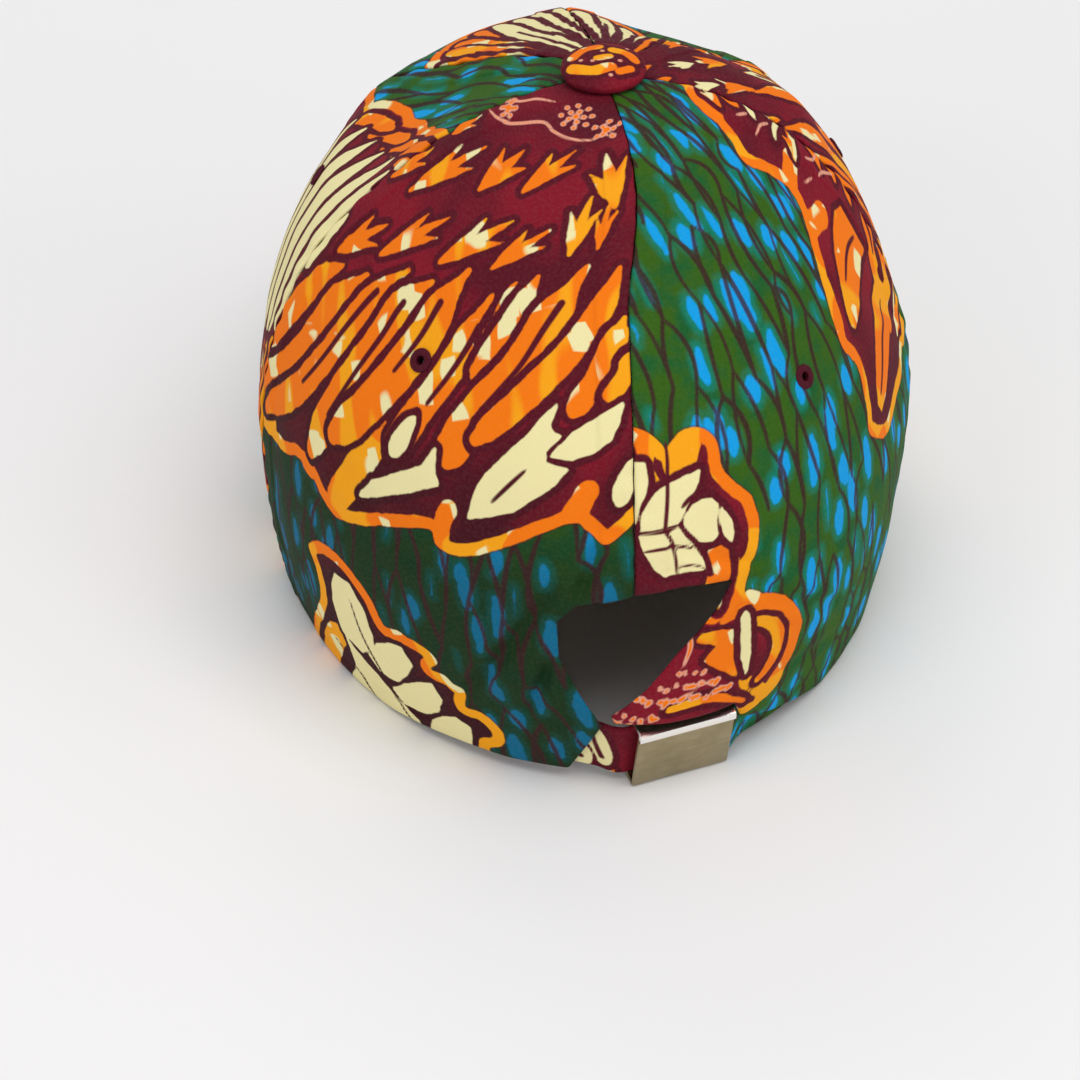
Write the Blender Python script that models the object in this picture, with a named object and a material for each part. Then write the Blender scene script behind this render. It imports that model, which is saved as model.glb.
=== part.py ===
"""Six-panel cap in wax print cotton, with a covered button, a peak and a strap closed by a metal clamp.

Metres, +Z up. The cap rests on its rim at Z = 0, with the peak towards -Y and the strap at +Y.
Angles run round the crown from the middle of the back (0) past the wearer's right (90) to the front (180).
The origin is under the middle of the whole cap.
"""
import math

import bmesh
import bpy
import numpy as np
from mathutils import Matrix, Vector

MM = 0.001

# Crown
RIM_HALF_WIDTH = 78 * MM
RIM_HALF_LENGTH = 98 * MM
CROWN_HEIGHT = 140 * MM
CROWN_BULGE = 0.085          # how much wider the crown is halfway up than at the rim
CROWN_SHOULDER = 3.95        # power of the height in the profile: higher is a flatter top
RIM_ROUNDNESS = 1.88         # power of the rim's outline, 2 is an ellipse
ROUND_FROM = 0.45            # share of the height where the outline has become an ellipse
CROWN_LEAN = (-5.4 * MM, -4.5 * MM)    # how far the button lies from the rim's middle
LEAN_POWER = 3.0             # how late up the crown it leans
FACET_AT_RIM = 0.03          # how flat a panel is between its seams, 1 is a straight chord
FACET_AT_TOP = 0.35
CROWN_CORE = 0.4             # share of the height of the point that dents push towards
WALL = 1.6 * MM
HEM_WALL = 2.4 * MM
HEM_HEIGHT = 14 * MM         # of the front and side panels, the back ones have the strap there
HEM_STEP = 5 * MM            # height in which the hem thins to the wall
SEAM_GAP = 0.35 * MM
TOP_HOLE_RADIUS = 3.0 * MM
FRONT_ARCH = 18 * MM         # how far the rim rises over the peak
FRONT_ARCH_HALF = 76 * MM

# Each panel: name, first and last angle, columns of faces, colour
PANELS = [
    dict(name="panel_back_right", start=0, end=83, columns=15, colour=(0.05, 0.20, 0.03)),
    dict(name="panel_side_right", start=83, end=134, columns=10, colour=(0.30, 0.02, 0.03)),
    dict(name="panel_front_right", start=134, end=180, columns=9, colour=(0.80, 0.28, 0.02)),
    dict(name="panel_front_left", start=180, end=226, columns=9, colour=(0.85, 0.70, 0.35)),
    dict(name="panel_side_left", start=226, end=277, columns=10, colour=(0.05, 0.22, 0.10)),
    dict(name="panel_back_left", start=277, end=360, columns=15, colour=(0.26, 0.02, 0.06)),
]
PANEL_ROWS = 20

# Soft dents and swellings of the cloth: angle and share of the height at the middle,
# reach in degrees and in share of the height, and how far the cloth goes in (minus is out).
DENTS = [
    dict(angle=144, rise=0.88, angle_reach=36, rise_reach=0.13, depth=8.0 * MM),
    dict(angle=190, rise=0.94, angle_reach=60, rise_reach=0.11, depth=4.0 * MM),
    dict(angle=248, rise=0.885, angle_reach=42, rise_reach=0.15, depth=7.5 * MM),
    dict(angle=98, rise=0.88, angle_reach=16, rise_reach=0.09, depth=-2.5 * MM),
    dict(angle=78, rise=0.66, angle_reach=40, rise_reach=0.30, depth=2.2 * MM),
    dict(angle=318, rise=0.74, angle_reach=22, rise_reach=0.16, depth=1.0 * MM),
    dict(angle=36, rise=0.30, angle_reach=20, rise_reach=0.20, depth=-1.0 * MM),
    dict(angle=338, rise=0.26, angle_reach=12, rise_reach=0.14, depth=-1.2 * MM),
]
UNDENTED_TOP = 0.02          # share of the height below the button where the dents fade out
# The lower corner of the back right panel stands off from the buckle
CORNER_ANGLE = 13
CORNER_ANGLE_REACH = 24
CORNER_RISE = 0.14
CORNER_RISE_REACH = 0.16
CORNER_STAND_OFF = 3.4 * MM
CORNER_LAP = 6.5             # degrees that this corner reaches past the middle of the back
CORNER_TOP = 0.40            # share of the height where the panel's edge is back on the seam

# Edges of the opening at the back, seen from behind: distance to the right of the middle, height.
# The back left panel ends on the first, from the rim up to the seam, and the right on the second.
LEFT_EDGE = [
    dict(right=-64 * MM, height=-3 * MM),
    dict(right=-56 * MM, height=0.3 * MM),
    dict(right=-40 * MM, height=2.6 * MM),
    dict(right=-13.5 * MM, height=3.4 * MM),
    dict(right=-5.8 * MM, height=20.5 * MM),
    dict(right=-11.5 * MM, height=31 * MM),
    dict(right=-16.5 * MM, height=43 * MM),
    dict(right=-17 * MM, height=53.5 * MM),
    dict(right=-12.5 * MM, height=58.5 * MM),
    dict(right=1.5 * MM, height=62 * MM),
]
RIGHT_EDGE = [
    dict(right=1.5 * MM, height=62 * MM),
    dict(right=14 * MM, height=62 * MM),
    dict(right=26 * MM, height=60 * MM),
    dict(right=22 * MM, height=53 * MM),
    dict(right=14 * MM, height=44 * MM),
    dict(right=4.5 * MM, height=33 * MM),
    dict(right=-4 * MM, height=25 * MM),
    dict(right=-3 * MM, height=22.4 * MM),
    dict(right=27.5 * MM, height=21.6 * MM),
    dict(right=30 * MM, height=14 * MM),
    dict(right=38 * MM, height=8.5 * MM),
    dict(right=62 * MM, height=-4 * MM),
]
SEAM_DRIFT = 1.2             # degrees that the back seam has moved to the right at the opening
DRIFT_TOP = 0.85             # share of the height where it is back in the middle
SEAM_TOP_DRIFT = 9           # degrees that it turns to the right again beside the button
CUT_PAST_SEAM = 20 * MM      # how far each cut runs past the middle of the back
CUT_NEAR = 60 * MM           # each cut's two ends along Y
CUT_FAR = 125 * MM

# Air holes, one in each panel
EYELETS = [
    dict(name="eyelet_back_right", angle=39, rise=0.69),
    dict(name="eyelet_side_right", angle=107, rise=0.72),
    dict(name="eyelet_front_right", angle=157, rise=0.72),
    dict(name="eyelet_front_left", angle=203, rise=0.72),
    dict(name="eyelet_side_left", angle=253, rise=0.72),
    dict(name="eyelet_back_left", angle=315, rise=0.725),
]
EYELET_HOLE_RADIUS = 1.1 * MM
EYELET_RING_RADIUS = 3.0 * MM
EYELET_SLEEVE_RADIUS = 1.9 * MM
EYELET_CUT_RADIUS = 2.25 * MM
EYELET_PROUD = 0.75 * MM
EYELET_BEVEL = 0.35 * MM     # how much lower the ring is at its hole and its rim
EYELET_INNER_FLANGE = 0.45 * MM
EYELET_CUT_HALF = 4 * MM
EYELET_SEAT = 0.4 * MM
EYELET_SIDES = 12

# Covered button
BUTTON_RADIUS = 10.5 * MM
BUTTON_HEIGHT = 5.6 * MM
BUTTON_EDGE = 1.6 * MM
BUTTON_SEAT = 0.35 * MM
BUTTON_STEPS = 4             # rings of its dome, which ends a little before the edge stands upright
BUTTON_LAST_TURN = 78        # degrees
BUTTON_UNDERCUT = 0.96       # how much narrower its underside is
WASHER_GAP = 0.6 * MM
WASHER_BEVEL = 0.1 * MM
SHANK_RADIUS = 2.2 * MM
WASHER_RADIUS = 6.0 * MM
WASHER_THICKNESS = 1.2 * MM
BUTTON_SIDES = 24

# Peak
PEAK_REACH = 70 * MM         # from the front of the crown to the front edge
PEAK_HALF_ANGLE = 68         # degrees of the rim that its seam takes on each side
PEAK_HALF_WIDTH = 79 * MM
PEAK_THICKNESS = 3.8 * MM
PEAK_FRONT_DROP = 3 * MM
PEAK_CORNER = 4 * MM         # width left at its two ends
PEAK_SEAT = 0.3 * MM
PEAK_LEAN = 1.2              # share of the crown's slope by which its seam stands off
PEAK_SIDE_POWER = 0.92       # powers of the front edge's outline, 1 and 1 is an ellipse
PEAK_FRONT_POWER = 0.72
PEAK_ARCH_POWER = 1.3        # how narrow its arch is at the front edge
PEAK_COLUMNS = 26
PEAK_ROWS = 7

# Strap, its tab and the buckle
STRAP_WIDTH = 17 * MM
STRAP_THICKNESS = 1.6 * MM
STRAP_BOTTOM = 1.8 * MM
STRAP_LEFT_LIFT = 2.6 * MM   # how much higher it lies under the left panel than in the buckle
STRAP_LIFT_LENGTH = 16 * MM
STRAP_ROUNDING = 0.4 * MM    # of its long edges
STRAP_GAP = 0.45 * MM
STRAP_START = -62 * MM       # along the rim from the middle of the back, right is plus
STRAP_END = 58 * MM
TAB_START = 19.5 * MM
TAB_END = 92 * MM
BUCKLE_MIDDLE = 14 * MM
BUCKLE_LENGTH = 25.5 * MM
BUCKLE_PLATE = 1.1 * MM
BUCKLE_ROUNDING = 0.8 * MM
BUCKLE_LIP = 0.9 * MM        # how far the bright flange stands above the face
BUCKLE_LIP_WIDTH = 2.1 * MM
BUCKLE_CUT_LENGTH = 36 * MM
BAND_STEP = 2.8 * MM         # length of a strap's faces
BLEND_LENGTH = 8.5 * MM      # in which a strap turns from the rim's line to the buckle's
TAB_OVER_LENGTH = 6 * MM     # in which the strap goes under the tab beyond the buckle
TAB_OVER_START = 1 * MM


def remove_everything():
    """Empty the scene."""
    for old in list(bpy.data.objects):
        bpy.data.objects.remove(old, do_unlink=True)


def make_material(name, colour, roughness=0.85, metallic=0.0):
    """A Principled material of one colour."""
    material = bpy.data.materials.new(name)
    material.use_nodes = True
    shader = material.node_tree.nodes["Principled BSDF"]
    shader.inputs["Base Color"].default_value = (*colour, 1.0)
    shader.inputs["Roughness"].default_value = roughness
    shader.inputs["Metallic"].default_value = metallic
    material.diffuse_color = (*colour, 1.0)
    return material


def add_object(name, vertices, faces, material):
    """Make an object from points and faces, smooth with sharp edges at corners."""
    mesh = bpy.data.meshes.new(name)
    mesh.from_pydata([tuple(v) for v in vertices], [], faces)
    mesh.update()
    thing = bpy.data.objects.new(name, mesh)
    bpy.context.collection.objects.link(thing)
    mesh.materials.append(material)
    mesh.shade_smooth()
    mesh.set_sharp_from_angle(angle=math.radians(40))
    return thing


def smooth_step(value):
    """0 below 0, 1 above 1 and a soft S between."""
    value = min(max(value, 0.0), 1.0)
    return value * value * (3 - 2 * value)


def angle_apart(one, other):
    """Degrees between two angles, -180 to 180."""
    return (one - other + 180) % 360 - 180


def bump(offset, reach):
    """1 in the middle and 0 beyond the reach."""
    return smooth_step(1 - abs(offset) / reach)


def facet_factor(angle, rise):
    """How far a panel is drawn in between its two seams."""
    turn = angle % 360
    panel = next(p for p in PANELS if p["start"] <= turn <= p["end"])
    half = math.radians(panel["end"] - panel["start"]) / 2
    middle = math.radians(panel["end"] + panel["start"]) / 2
    chord = math.cos(half) / math.cos(math.radians(turn) - middle)
    amount = FACET_AT_RIM + (FACET_AT_TOP - FACET_AT_RIM) * rise ** 2
    return 1 - amount * (1 - chord)


def crown_point(angle, rise, corner=False):
    """A point of the crown's outer face: degrees round the crown, share of the height."""
    rise = min(max(rise, 0.0), 1.0)
    width = math.sqrt(max(1 - rise ** CROWN_SHOULDER, 0.0)) * (1 + CROWN_BULGE * 4 * rise * (1 - rise))
    power = RIM_ROUNDNESS + (2 - RIM_ROUNDNESS) * min(rise / ROUND_FROM, 1)
    turn = math.radians(angle)
    sine = math.copysign(abs(math.sin(turn)) ** (2 / power), math.sin(turn))
    cosine = math.copysign(abs(math.cos(turn)) ** (2 / power), math.cos(turn))
    width *= facet_factor(angle, rise)
    point = np.array([
        -RIM_HALF_WIDTH * sine * width + CROWN_LEAN[0] * rise ** LEAN_POWER,
        RIM_HALF_LENGTH * cosine * width + CROWN_LEAN[1] * rise ** LEAN_POWER,
        CROWN_HEIGHT * rise,
    ])
    middle = np.array([0.0, 0.0, CROWN_HEIGHT * CROWN_CORE])
    outward = (point - middle) / np.linalg.norm(point - middle)
    clear_of_button = smooth_step((1 - rise) / UNDENTED_TOP)
    for dent in DENTS:
        reach = bump(angle_apart(angle, dent["angle"]), dent["angle_reach"]) * clear_of_button
        point = point - outward * dent["depth"] * reach * bump(rise - dent["rise"], dent["rise_reach"])
    if corner:
        reach = bump(angle_apart(angle, CORNER_ANGLE), CORNER_ANGLE_REACH)
        point = point + outward * CORNER_STAND_OFF * reach * bump(rise - CORNER_RISE, CORNER_RISE_REACH)
    return point


def crown_normal(angle, rise, corner=False):
    """The direction straight out of the crown's face."""
    low = max(rise - 0.002, 0.0)
    high = min(rise + 0.002, 0.9999)
    along = crown_point(angle + 0.5, rise, corner) - crown_point(angle - 0.5, rise, corner)
    up = crown_point(angle, high, corner) - crown_point(angle, low, corner)
    normal = np.cross(along, up)
    return normal / np.linalg.norm(normal)


def rim_height(angle):
    """Height of the rim: flat on the table, and arched over the peak."""
    if math.cos(math.radians(angle)) > 0:
        return 0.0
    across = abs(crown_point(angle, 0.0)[0]) / FRONT_ARCH_HALF
    return FRONT_ARCH * smooth_step(1 - across ** 2) if across < 1 else 0.0


def grid_solid(outer, inner):
    """Join two grids of points, rows of equal length, into one closed wall."""
    rows = len(outer)
    columns = len(outer[0])
    vertices = [p for row in outer for p in row] + [p for row in inner for p in row]
    back = rows * columns

    def at(row, column):
        return row * columns + column

    faces = []
    for row in range(rows - 1):
        for column in range(columns - 1):
            a = at(row, column)
            b = at(row, column + 1)
            c = at(row + 1, column + 1)
            d = at(row + 1, column)
            faces.append((a, b, c, d))
            faces.append((back + d, back + c, back + b, back + a))
    edge = [at(0, c) for c in range(columns)]
    edge += [at(r, columns - 1) for r in range(1, rows)]
    edge += [at(rows - 1, c) for c in range(columns - 2, -1, -1)]
    edge += [at(r, 0) for r in range(rows - 2, 0, -1)]
    for here, there in zip(edge, edge[1:] + edge[:1]):
        faces.append((there, here, back + here, back + there))
    return vertices, faces


def face_outward(thing):
    """Turn the faces outward."""
    work = bmesh.new()
    work.from_mesh(thing.data)
    bmesh.ops.recalc_face_normals(work, faces=work.faces)
    work.to_mesh(thing.data)
    work.free()


def hide_cutter(cutter):
    """Keep a cutting shape out of the model."""
    cutter.hide_render = True
    cutter.display_type = "WIRE"


def cut(thing, cutter):
    """Cut one object with another."""
    modifier = thing.modifiers.new("cut_" + cutter.name, "BOOLEAN")
    modifier.operation = "DIFFERENCE"
    modifier.solver = "EXACT"
    modifier.object = cutter


def make_panel(panel):
    """One panel of the crown: a wall between two seams, thicker at the hem."""
    corner = panel["name"] == "panel_back_right"
    at_back = panel["start"] == 0 or panel["end"] == 360
    outer = []
    inner = []
    for row in range(PANEL_ROWS + 1):
        share = row / PANEL_ROWS
        outer_row = []
        inner_row = []
        for column in range(panel["columns"] + 1):
            across = column / panel["columns"]
            angle = panel["start"] + (panel["end"] - panel["start"]) * across
            low = math.asin(rim_height(angle) / CROWN_HEIGHT)
            top = math.radians(90) - TOP_HOLE_RADIUS / RIM_HALF_WIDTH / math.sqrt(CROWN_SHOULDER / 2)
            rise = math.sin(low + (top - low) * share)
            start = panel["start"]
            end = panel["end"]
            drift = SEAM_DRIFT * (1 - smooth_step(rise / DRIFT_TOP))
            drift += SEAM_TOP_DRIFT * smooth_step((rise - DRIFT_TOP) / (1 - DRIFT_TOP))
            if start == 0:
                start += drift - (CORNER_LAP + drift) * (1 - smooth_step(rise / CORNER_TOP))
            if end == 360:
                end += drift
            from_axis = crown_point(angle, rise)[:2] - np.array(CROWN_LEAN) * rise ** LEAN_POWER
            inset = math.degrees(SEAM_GAP / 2 / np.linalg.norm(from_axis))
            angle = start + inset + (end - start - 2 * inset) * across
            point = crown_point(angle, rise, corner)
            normal = crown_normal(angle, rise, corner)
            height = point[2] - rim_height(angle)
            wall = WALL + (HEM_WALL - WALL) * smooth_step((HEM_HEIGHT - height) / HEM_STEP)
            if at_back:
                wall = WALL
            inside = point - normal * wall
            if row == 0:
                flat = np.array([normal[0], normal[1], 0.0])
                inside = point - flat / np.linalg.norm(flat) * wall
            outer_row.append(point)
            inner_row.append(inside)
        outer.append(outer_row)
        inner.append(inner_row)
    vertices, faces = grid_solid(outer, inner)
    thing = add_object(panel["name"], vertices, faces, make_material(panel["name"], panel["colour"]))
    face_outward(thing)
    return thing


def make_edge_cutter(name, edge, past):
    """A prism through the back wall, between one edge of the opening and the line at past."""
    outline = [(-p["right"], p["height"]) for p in edge]
    first = outline[0][1]
    last = outline[-1][1]
    outline += [(-past, last), (-past, first)]
    count = len(outline)
    vertices = [(x, CUT_NEAR, z) for x, z in outline]
    vertices += [(x, CUT_FAR, z) for x, z in outline]
    faces = [tuple(range(count)), tuple(range(2 * count - 1, count - 1, -1))]
    faces += [(i, (i + 1) % count, count + (i + 1) % count, count + i) for i in range(count)]
    cutter = add_object(name, vertices, faces, make_material(name, (1, 0, 0)))
    face_outward(cutter)
    hide_cutter(cutter)
    return cutter


def turned(profile, sides, frame, name, material, closed):
    """Turn a profile of (radius, height) pairs round an axis; radius 0 closes on the axis."""
    vertices = []
    rings = []
    for radius, height in profile:
        if radius == 0:
            rings.append([len(vertices)])
            vertices.append(frame @ Vector((0, 0, height)))
            continue
        ring = []
        for side in range(sides):
            turn = 2 * math.pi * side / sides
            ring.append(len(vertices))
            vertices.append(frame @ Vector((radius * math.cos(turn), radius * math.sin(turn), height)))
        rings.append(ring)
    pairs = list(zip(rings, rings[1:]))
    if closed:
        pairs.append((rings[-1], rings[0]))
    faces = []
    for one, other in pairs:
        for side in range(sides):
            after = (side + 1) % sides
            if len(one) == 1:
                faces.append((one[0], other[side], other[after]))
            elif len(other) == 1:
                faces.append((one[side], one[after], other[0]))
            else:
                faces.append((one[side], one[after], other[after], other[side]))
    thing = add_object(name, vertices, faces, material)
    face_outward(thing)
    return thing


def frame_on_crown(angle, rise):
    """A frame with its origin on the crown's face and Z straight out."""
    point = crown_point(angle, rise)
    normal = Vector(crown_normal(angle, rise))
    turn = normal.to_track_quat("Z", "Y").to_matrix().to_4x4()
    return Matrix.Translation(Vector(point)) @ turn


def make_eyelet(eyelet, panel, material):
    """An embroidered ring round an air hole, and the hole in its panel."""
    frame = frame_on_crown(eyelet["angle"], eyelet["rise"])
    inside = -WALL - EYELET_SEAT
    flange = EYELET_RING_RADIUS - EYELET_BEVEL
    profile = [
        (EYELET_HOLE_RADIUS, EYELET_PROUD - EYELET_BEVEL),
        (EYELET_SLEEVE_RADIUS, EYELET_PROUD),
        (EYELET_RING_RADIUS, EYELET_SEAT + (EYELET_PROUD - EYELET_SEAT) / 3),
        (flange, EYELET_SEAT),
        (EYELET_SLEEVE_RADIUS, EYELET_SEAT),
        (EYELET_SLEEVE_RADIUS, inside),
        (flange, inside),
        (EYELET_SLEEVE_RADIUS, inside - EYELET_INNER_FLANGE),
        (EYELET_HOLE_RADIUS, inside - EYELET_BEVEL),
    ]
    turned(profile, EYELET_SIDES, frame, eyelet["name"], material, closed=True)
    bar = [
        (0, -EYELET_CUT_HALF),
        (EYELET_CUT_RADIUS, -EYELET_CUT_HALF),
        (EYELET_CUT_RADIUS, EYELET_CUT_HALF),
        (0, EYELET_CUT_HALF),
    ]
    cutter = turned(bar, EYELET_SIDES, frame, eyelet["name"] + "_cutter", material, closed=False)
    hide_cutter(cutter)
    cut(panel, cutter)


def make_button():
    """The covered button, with a shank through the crown's top hole and a washer under it."""
    top = crown_point(0, 1.0)
    frame = Matrix.Translation(Vector(top))
    under = -WALL - WASHER_GAP
    profile = [(0, BUTTON_HEIGHT)]
    for step in range(1, BUTTON_STEPS + 1):
        turn = math.radians(BUTTON_LAST_TURN * step / BUTTON_STEPS)
        radius = BUTTON_RADIUS * math.sin(turn)
        profile.append((radius, BUTTON_EDGE + (BUTTON_HEIGHT - BUTTON_EDGE) * math.cos(turn)))
    profile += [
        (BUTTON_RADIUS, BUTTON_EDGE),
        (BUTTON_RADIUS * BUTTON_UNDERCUT, BUTTON_SEAT),
        (SHANK_RADIUS, BUTTON_SEAT),
        (SHANK_RADIUS, under),
        (WASHER_RADIUS, under - WASHER_BEVEL),
        (WASHER_RADIUS, under - WASHER_THICKNESS),
        (0, under - WASHER_THICKNESS),
    ]
    material = make_material("button", (0.35, 0.03, 0.03), roughness=0.7)
    return turned(profile, BUTTON_SIDES, frame, "button", material, closed=False)


def peak_top(across, forward):
    """A point of the peak's top: -1 to 1 from end to end, 0 at its seam to 1 at its front edge."""
    angle = 180 + PEAK_HALF_ANGLE * across
    rear_rim = crown_point(angle, rim_height(angle) / CROWN_HEIGHT)
    normal = crown_normal(angle, (rim_height(angle) + PEAK_THICKNESS) / CROWN_HEIGHT)
    flat = np.array([normal[0], normal[1]]) / np.linalg.norm(normal[:2])
    lean = abs(normal[2]) * PEAK_THICKNESS * PEAK_LEAN
    rear = rear_rim[:2] + flat * (PEAK_SEAT + lean)
    sweep = math.radians(90) * across
    end_y = crown_point(180 + PEAK_HALF_ANGLE, 0)[1]
    front_y = -RIM_HALF_LENGTH - PEAK_REACH
    front = np.array([
        PEAK_HALF_WIDTH * math.copysign(abs(math.sin(sweep)) ** PEAK_SIDE_POWER, sweep),
        end_y - PEAK_CORNER - (end_y - PEAK_CORNER - front_y) * math.cos(sweep) ** PEAK_FRONT_POWER,
    ])
    place = rear + (front - rear) * forward
    arch = smooth_step(1 - (abs(rear_rim[0]) / FRONT_ARCH_HALF) ** 2)
    rear_height = PEAK_THICKNESS + FRONT_ARCH * arch
    front_arch = math.cos(sweep) ** PEAK_ARCH_POWER
    front_height = PEAK_THICKNESS + (FRONT_ARCH - PEAK_FRONT_DROP) * front_arch
    height = rear_height + (front_height - rear_height) * forward
    return np.array([place[0], place[1], height])


def make_peak():
    """The peak: a stiff crescent arched from side to side."""
    top = []
    bottom = []
    for row in range(PEAK_ROWS + 1):
        forward = row / PEAK_ROWS
        line = [peak_top(-1 + 2 * c / PEAK_COLUMNS, forward) for c in range(PEAK_COLUMNS + 1)]
        top.append(line)
        bottom.append([p - np.array([0, 0, PEAK_THICKNESS]) for p in line])
    vertices, faces = grid_solid(top, bottom)
    peak = add_object("peak", vertices, faces, make_material("peak", (0.06, 0.22, 0.04)))
    face_outward(peak)
    return peak


def rim_table():
    """Angles and lengths along the rim from the middle of the back, right is plus."""
    table = [(0.0, 0.0)]
    for sign in (1, -1):
        length = 0.0
        before = crown_point(0, 0.0)
        for step in range(1, 221):
            angle = sign * step * 0.5
            here = crown_point(angle, 0.0)
            length += np.linalg.norm(here - before)
            before = here
            table.append((sign * length, angle))
    return sorted(table)


RIM_TABLE = rim_table()


def rim_angle(length):
    """The angle at a length along the rim."""
    return float(np.interp(length, [row[0] for row in RIM_TABLE], [row[1] for row in RIM_TABLE]))


def strap_line(length, depth):
    """Middle of a strap's outer face, and its outward and upward directions.

    It follows the rim, and lies straight where it passes through the buckle.
    """

    def follow(at):
        angle = rim_angle(at)
        lift = STRAP_LEFT_LIFT * smooth_step(-at / STRAP_LIFT_LENGTH)
        rise = (STRAP_BOTTOM + STRAP_WIDTH / 2 + lift) / CROWN_HEIGHT
        return crown_point(angle, rise), crown_normal(angle, rise)

    point, normal = follow(length)
    centre, straight = follow(BUCKLE_MIDDLE)
    along = np.cross(np.array([0, 0, 1.0]), straight)
    along /= np.linalg.norm(along)
    past = length - BUCKLE_MIDDLE
    on_line = centre + along * past
    half = BUCKLE_LENGTH / 2
    share = smooth_step((abs(past) - half) / BLEND_LENGTH)
    point = on_line + (point - on_line) * share
    normal = straight + (normal - straight) * share
    normal /= np.linalg.norm(normal)
    sideways = np.cross(np.array([0, 0, 1.0]), normal)
    sideways /= np.linalg.norm(sideways)
    up = np.cross(normal, sideways)
    return point - normal * depth, normal, up


def band(name, start, end, depth_at, colour):
    """A strap from start to end along the rim, as deep under the crown's face as depth_at says."""
    steps = max(int(round((end - start) / BAND_STEP)), 2)
    sections = []
    for step in range(steps + 1):
        length = start + (end - start) * step / steps
        middle, normal, up = strap_line(length, depth_at(length))
        half = up * STRAP_WIDTH / 2
        inward = normal * STRAP_THICKNESS
        soft = normal * STRAP_ROUNDING
        trim = up * STRAP_ROUNDING
        sections.append([
            middle + half - soft,
            middle + half - trim,
            middle - half + trim,
            middle - half - soft,
            middle - half - inward + soft,
            middle - half - inward + trim,
            middle + half - inward - trim,
            middle + half - inward + soft,
        ])
    count = len(sections[0])
    vertices = [p for section in sections for p in section]
    faces = [tuple(range(count)), tuple((len(sections) - 1) * count + i for i in reversed(range(count)))]
    for step in range(len(sections) - 1):
        for i in range(count):
            j = (i + 1) % count
            here = step * count
            there = here + count
            faces.append((here + i, here + j, there + j, there + i))
    thing = add_object(name, vertices, faces, make_material(name, colour))
    face_outward(thing)
    return thing


UNDER_PANEL = WALL + STRAP_GAP
LAYER = STRAP_THICKNESS + STRAP_GAP


def strap_depth(length):
    """The strap lies under both panels, and under the tab beyond the buckle."""
    past_buckle = length - BUCKLE_MIDDLE - BUCKLE_LENGTH / 2
    beyond = smooth_step((past_buckle + TAB_OVER_START) / TAB_OVER_LENGTH)
    return UNDER_PANEL + LAYER * beyond


def tab_depth(length):
    """The tab lies on the strap in the buckle, and under the panel beyond it."""
    return strap_depth(length) - LAYER


def make_buckle():
    """The closed metal clamp: a flat tube round the strap, with a raised flange along its top."""
    middle, normal, up = strap_line(BUCKLE_MIDDLE, UNDER_PANEL)
    along = np.cross(up, normal)
    frame = Matrix((
        (along[0], up[0], normal[0], middle[0]),
        (along[1], up[1], normal[1], middle[1]),
        (along[2], up[2], normal[2], middle[2]),
        (0, 0, 0, 1),
    ))
    half_width = STRAP_WIDTH / 2 + STRAP_GAP
    outer_face = LAYER + STRAP_GAP
    inner_face = -STRAP_THICKNESS - STRAP_GAP
    plate = BUCKLE_PLATE
    r = BUCKLE_ROUNDING
    lip = BUCKLE_LIP
    outline = [
        (half_width + plate, outer_face + plate + lip - 2 * r),
        (half_width + plate - r, outer_face + plate + lip),
        (half_width + plate - BUCKLE_LIP_WIDTH, outer_face + plate + lip),
        (half_width + plate - BUCKLE_LIP_WIDTH - r, outer_face + plate),
        (-half_width - plate + r, outer_face + plate),
        (-half_width - plate, outer_face + plate - r),
        (-half_width - plate, inner_face - plate + r),
        (-half_width - plate + r, inner_face - plate),
        (half_width + plate - r, inner_face - plate),
        (half_width + plate, inner_face - plate + r),
    ]
    hole = [
        (half_width, outer_face),
        (-half_width, outer_face),
        (-half_width, inner_face),
        (half_width, inner_face),
    ]

    def prism(name, points, length):
        count = len(points)
        vertices = [frame @ Vector((-length / 2, y, z)) for y, z in points]
        vertices += [frame @ Vector((length / 2, y, z)) for y, z in points]
        faces = [tuple(range(count)), tuple(range(2 * count - 1, count - 1, -1))]
        faces += [(i, (i + 1) % count, count + (i + 1) % count, count + i) for i in range(count)]
        thing = add_object(name, vertices, faces, material)
        face_outward(thing)
        return thing

    material = make_material("buckle", (0.42, 0.38, 0.34), roughness=0.35, metallic=1.0)
    buckle = prism("buckle", outline, BUCKLE_LENGTH)
    cutter = prism("buckle_cutter", hole, BUCKLE_CUT_LENGTH)
    hide_cutter(cutter)
    cut(buckle, cutter)
    return buckle


def put_origin_under_middle():
    """Move everything so that the origin is under the middle of the cap."""
    shown = [t for t in bpy.data.objects if not t.hide_render]
    points = np.array([tuple(v.co) for thing in shown for v in thing.data.vertices])
    middle = (points.min(axis=0) + points.max(axis=0)) / 2
    shift = Matrix.Translation((-middle[0], -middle[1], 0))
    for thing in bpy.data.objects:
        thing.data.transform(shift)


def main():
    remove_everything()
    panels = {panel["name"]: make_panel(panel) for panel in PANELS}
    thread = make_material("eyelet_thread", (0.10, 0.01, 0.02), roughness=0.6)
    for eyelet in EYELETS:
        make_eyelet(eyelet, panels[eyelet["name"].replace("eyelet", "panel")], thread)
    cut(panels["panel_back_left"], make_edge_cutter("left_edge_cutter", LEFT_EDGE, CUT_PAST_SEAM))
    cut(panels["panel_back_right"], make_edge_cutter("right_edge_cutter", RIGHT_EDGE, -CUT_PAST_SEAM))
    make_button()
    make_peak()
    band("strap", STRAP_START, STRAP_END, strap_depth, (0.35, 0.05, 0.03))
    band("strap_tab", TAB_START, TAB_END, tab_depth, (0.05, 0.20, 0.05))
    make_buckle()
    put_origin_under_middle()


main()
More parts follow.
